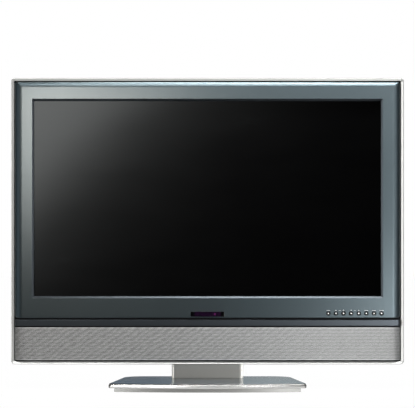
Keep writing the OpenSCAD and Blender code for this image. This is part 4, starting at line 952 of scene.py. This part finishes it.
def sockets():
    """Frame round the sockets' plate, coloured rings round the phono jacks and the thread of the aerial
    socket, whose radius is 4.85 + 0.25 cos(2 pi depth / pitch)."""
    half, low, high, middle = 74, 221.75, 291.75, -212
    rim = [(0.6, -1.0), (0.6, 0.7), (1.2, 1.0), (3.6, 1.0), (4.4, 0.2), (4.4, -1.0)]
    border = carried(rim, lambda g: outline(half + g, low - g, high + g, 1.5 + g) + (middle, 0))
    piece("socket_frame", [border], inlet_plastic)
    ring = [(4.25, 101.3), (6.4, 101.3), (6.4, 101.9), (6.0, 102.3), (4.6, 102.3), (4.25, 101.9)]
    rings = [carried(ring, lambda g, x=x, z=z: circle(x, z, g, 40), seat=0.0) for x, z in JACKS]
    piece("jack_rings", rings, jack_colours)
    aerial_x, aerial_z, pitch, start, end = -162, 274.75, 1.0, 102.2, 112.2
    d = np.linspace(start, end, 61)
    crests = 4.85 + 0.25 * np.cos(2 * np.pi * (d - start) / pitch)
    thread = [(4.75, 101.4), (6.6, 101.4), (6.6, start), *zip(crests, d), (4.75, end)]
    aerial = carried(thread, lambda g: circle(aerial_x, aerial_z, g, 40), seat=0.0)
    piece("aerial_thread", [aerial], socket_metal)


bezel()
picture_lip()
surround()
accent()
keys()
shade_rings()
marks()
window()
grille()
grille_frame()
base()
neck()
screw_heads()
back_trims()
sockets()


# Studio

# Soft boxes: name, place, target, width, height, power, and some have a roll and a colour
LAMPS = [
    ("sheen", (-0.46, -0.8, 0.68), (-0.36, 0, 0.58), 0.2, 0.16, 5.2, 35, (1, 0.95, 0.91)),
    ("panel_streak", (-0.423, -0.8, 0.64), (-0.423, 0, 0.64), 1.4, 0.36, 10, 45, (1, 0.89, 0.80)),
    ("flat_left", (-0.38, -0.8, 0.56), (-0.38, 0, 0.55), 0.12, 0.40, 2.0, 0, (1, 0.86, 0.77)),
    ("flat_over", (-0.29, -0.8, 0.61), (-0.29, 0, 0.6), 0.38, 0.08, 1.7, 0, (1, 0.86, 0.77)),
    ("top_sheen", (-0.20, -0.7, 0.95), (-0.15, 0, 0.6), 0.6, 0.1, 4.0),
    ("overhead", (0.15, -0.12, 1.35), (0.2, 0, 0.6), 0.9, 0.2, 17),
    ("low_right", (0.62, -1.2, 0.08), (0.38, 0, 0.14), 0.25, 0.15, 4.0),
    ("right", (0.62, -1.2, 0.70), (0.36, 0, 0.58), 0.2, 0.3, 1.7),
    ("low_left", (-0.5, -1.6, 0.10), (-0.12, 0, 0.04), 0.3, 0.15, 9),
    ("band_right", (0.45, -1.6, 0.10), (0.1, 0, 0.04), 0.3, 0.15, 2.4),
    ("key_light", (0.10, -0.9, 0.55), (0.29, 0, 0.15), 0.15, 0.15, 4),
    ("plinth_left", (-0.28, -0.32, 0.03), (-0.17, -0.1, 0.005), 0.06, 0.03, 0.13),
    ("grille_right", (0.28, -0.7, 0.12), (0.32, 0, 0.09), 0.2, 0.1, 1.6),
    ("rim_left", (-2.4, -1.7, 0.40), (0.39, 0, 0.35), 0.8, 1.6, 46),
    ("rim_over", (-0.9, -1.9, 2.7), (-0.1, 0, 0.06), 1.4, 0.8, 56),
    ("rim_right", (0.75, -2.6, 0.25), (0.3, 0, 0.62), 0.4, 0.4, 16),
    ("rim_top", (0.8, -1.4, 2.4), (0.1, 0, 0.6), 1.2, 0.5, 52),
    ("lip_left", (-1.5, -0.06, 0.40), (0.35, 0, 0.40), 0.15, 0.35, 8.5),
    ("lip_right", (1.5, -0.06, 0.40), (-0.35, 0, 0.40), 0.15, 0.35, 5),
    ("lip_over", (0.15, -0.12, 1.35), (0.2, 0, 0.6), 0.9, 0.2, 10),
    ("flat_top", (0.12, -0.9, 0.66), (0.12, 0, 0.6), 0.55, 0.08, 0.65),
    ("bevel_left", (-1.30, -0.85, 0.44), (-0.38, 0, 0.44), 0.5, 1.0, 1.3, 0, (0.8, 0.92, 1)),
    ("bevel_right", (1.15, -1.1, 0.42), (0.38, 0, 0.40), 0.25, 1.0, 2.2),
    ("bevel_top", (0.15, -0.5, 1.2), (0.14, 0, 0.61), 1.08, 0.15, 8.4),
    ("neck_left", (-0.42, -0.02, 0.04), (-0.07, 0.07, 0.03), 0.1, 0.06, 0.58),
    ("neck_right", (0.42, 0.02, 0.06), (0.07, 0.07, 0.03), 0.1, 0.1, 1.5),
]

# Lamps and pieces: a lamp is kept off the pieces (EXCLUDE), or lights them alone (INCLUDE)
FLAGS = [
    ("right low_right", "panel_glass picture_lip surround_shell rim_band", "EXCLUDE"),
    ("top_sheen", "panel_glass picture_lip surround_shell rim_band bezel_shell", "EXCLUDE"),
    ("sheen", "picture_lip surround_shell panel_glass bezel_shell", "EXCLUDE"),
    ("overhead", "surround_shell picture_lip", "EXCLUDE"),
    ("panel_streak", "panel_glass", "INCLUDE"),
    ("flat_left flat_over flat_top bevel_left bevel_right bevel_top", "bezel_shell", "INCLUDE"),
    ("key_light", " ".join(name + "_dome" for name in KEYS), "INCLUDE"),
    ("low_left band_right", "rim_band", "INCLUDE"),
    ("plinth_left", "plinth_shell", "INCLUDE"),
    ("grille_right", "grille_mesh_left grille_mesh_right grille_rim", "INCLUDE"),
    ("rim_left rim_over rim_right rim_top", "surround_shell", "INCLUDE"),
    ("lip_left lip_right lip_over", "picture_lip", "INCLUDE"),
    ("neck_left neck_right", "neck_front", "INCLUDE"),
]


def camera():
    """Level long lens in front of the middle of the frame."""
    pixels, focal_pixels = 415, 2562
    data = bpy.data.cameras.new("camera")
    data.sensor_width = 36.0
    data.lens = 36.0 * focal_pixels / pixels
    data.clip_end = 100
    obj = bpy.data.objects.new("camera", data)
    obj.location = (0.0, -5.157, 0.372)
    obj.rotation_euler = (math.pi / 2, 0, 0)
    bpy.context.scene.collection.objects.link(obj)
    bpy.context.scene.camera = obj


def lamp(name, place, target, width, height, power, roll=0.0, colour=(1, 1, 1)):
    """Soft box of a width and height that looks at a target and is rolled about its own axis."""
    data = bpy.data.lights.new(name, "AREA")
    data.shape = "RECTANGLE"
    data.size, data.size_y, data.energy, data.color = width, height, power, colour
    obj = bpy.data.objects.new(name, data)
    aim = (Vector(target) - Vector(place)).to_track_quat("-Z", "Y")
    obj.location = place
    obj.rotation_euler = (aim @ Quaternion((0, 0, 1), math.radians(roll))).to_euler()
    obj.visible_camera = False
    bpy.context.scene.collection.objects.link(obj)


def flag(lamps, pieces, state):
    """Keeps lamps off some pieces (EXCLUDE), or on them alone (INCLUDE)."""
    group = bpy.data.collections.new("flag_" + lamps[0])
    for name in pieces:
        group.objects.link(bpy.data.objects[name])
    for entry in group.collection_objects:
        entry.light_linking.link_state = state
    for name in lamps:
        bpy.data.objects[name].light_linking.receiver_collection = group


def sheet(name, corners, finish):
    """Flat piece of the studio between four corners in metres."""
    mesh = bpy.data.meshes.new(name)
    mesh.from_pydata(corners, [], [(0, 1, 2, 3)])
    mesh.materials.append(finish)
    obj = bpy.data.objects.new(name, mesh)
    bpy.context.scene.collection.objects.link(obj)
    return obj


def room():
    """White backdrop round the back and a dark room behind the camera: a mirrored ray finds only the middle
    of the backdrop, and the camera finds white all round."""
    ambient = 0.6
    world = bpy.data.worlds.new("studio")
    bpy.context.scene.world = world
    world.use_nodes = True
    f = Nodes(world.node_tree, "Generated")
    y = f.axis("Y")
    mirrored = f.blend(f.seen("Glossy", "Transmission"), y.ramp(-0.15, 0.05, ambient), y.ramp(0.78, 0.92))
    back = f.tree.nodes["Background"]
    f.feed(back.inputs["Color"], rgb(1, 1, 1))
    f.feed(back.inputs["Strength"], f.blend(f.seen("Camera"), mirrored, 1.0))


def floor():
    """Pale floor that starts in front of the base: white where it is seen or mirrored, grey in what it
    scatters."""
    size, front = 8.0, -0.16
    f = Finish("floor", base_color=rgb(0.3, 0.3, 0.3), roughness=0.9)
    glow = f.add("Emission", {}, {"Strength": 1.02})
    share = f.seen("Camera", "Glossy", "Transmission") * 0.97
    f.show(f.add("MixShader", {}, {0: share, 1: Wire(f, f.shader.outputs[0]), 2: glow}))
    sheet("floor", [(-size, front, 0), (size, front, 0), (size, size, 0), (-size, size, 0)], f.material)


def card():
    """Grey-blue card behind the set, hidden by it, that shows only in the gloss top: dark at the left, pale
    at the right."""
    x, y, low, high = 0.6, 0.75, 0.05, 0.4
    f = Finish("card")
    tint = f.mix(f.axis("X").ramp(-0.12, 0.16), rgb(0.055, 0.092, 0.13), rgb(0.34, 0.40, 0.42))
    f.show(f.add("Emission", {}, {"Color": tint}))
    obj = sheet("card", [(-x, y, low), (x, y, low), (x, y, high), (-x, y, high)], f.material)
    obj.visible_camera = obj.visible_diffuse = obj.visible_shadow = obj.visible_transmission = False


def studio():
    """The room with its floor and card, and the soft boxes with their flags."""
    bpy.context.scene.view_settings.view_transform = "Standard"
    room()
    floor()
    card()
    for settings in LAMPS:
        lamp(*settings)
    for lamps, pieces, state in FLAGS:
        flag(lamps.split(), pieces.split(), state)


camera()
studio()
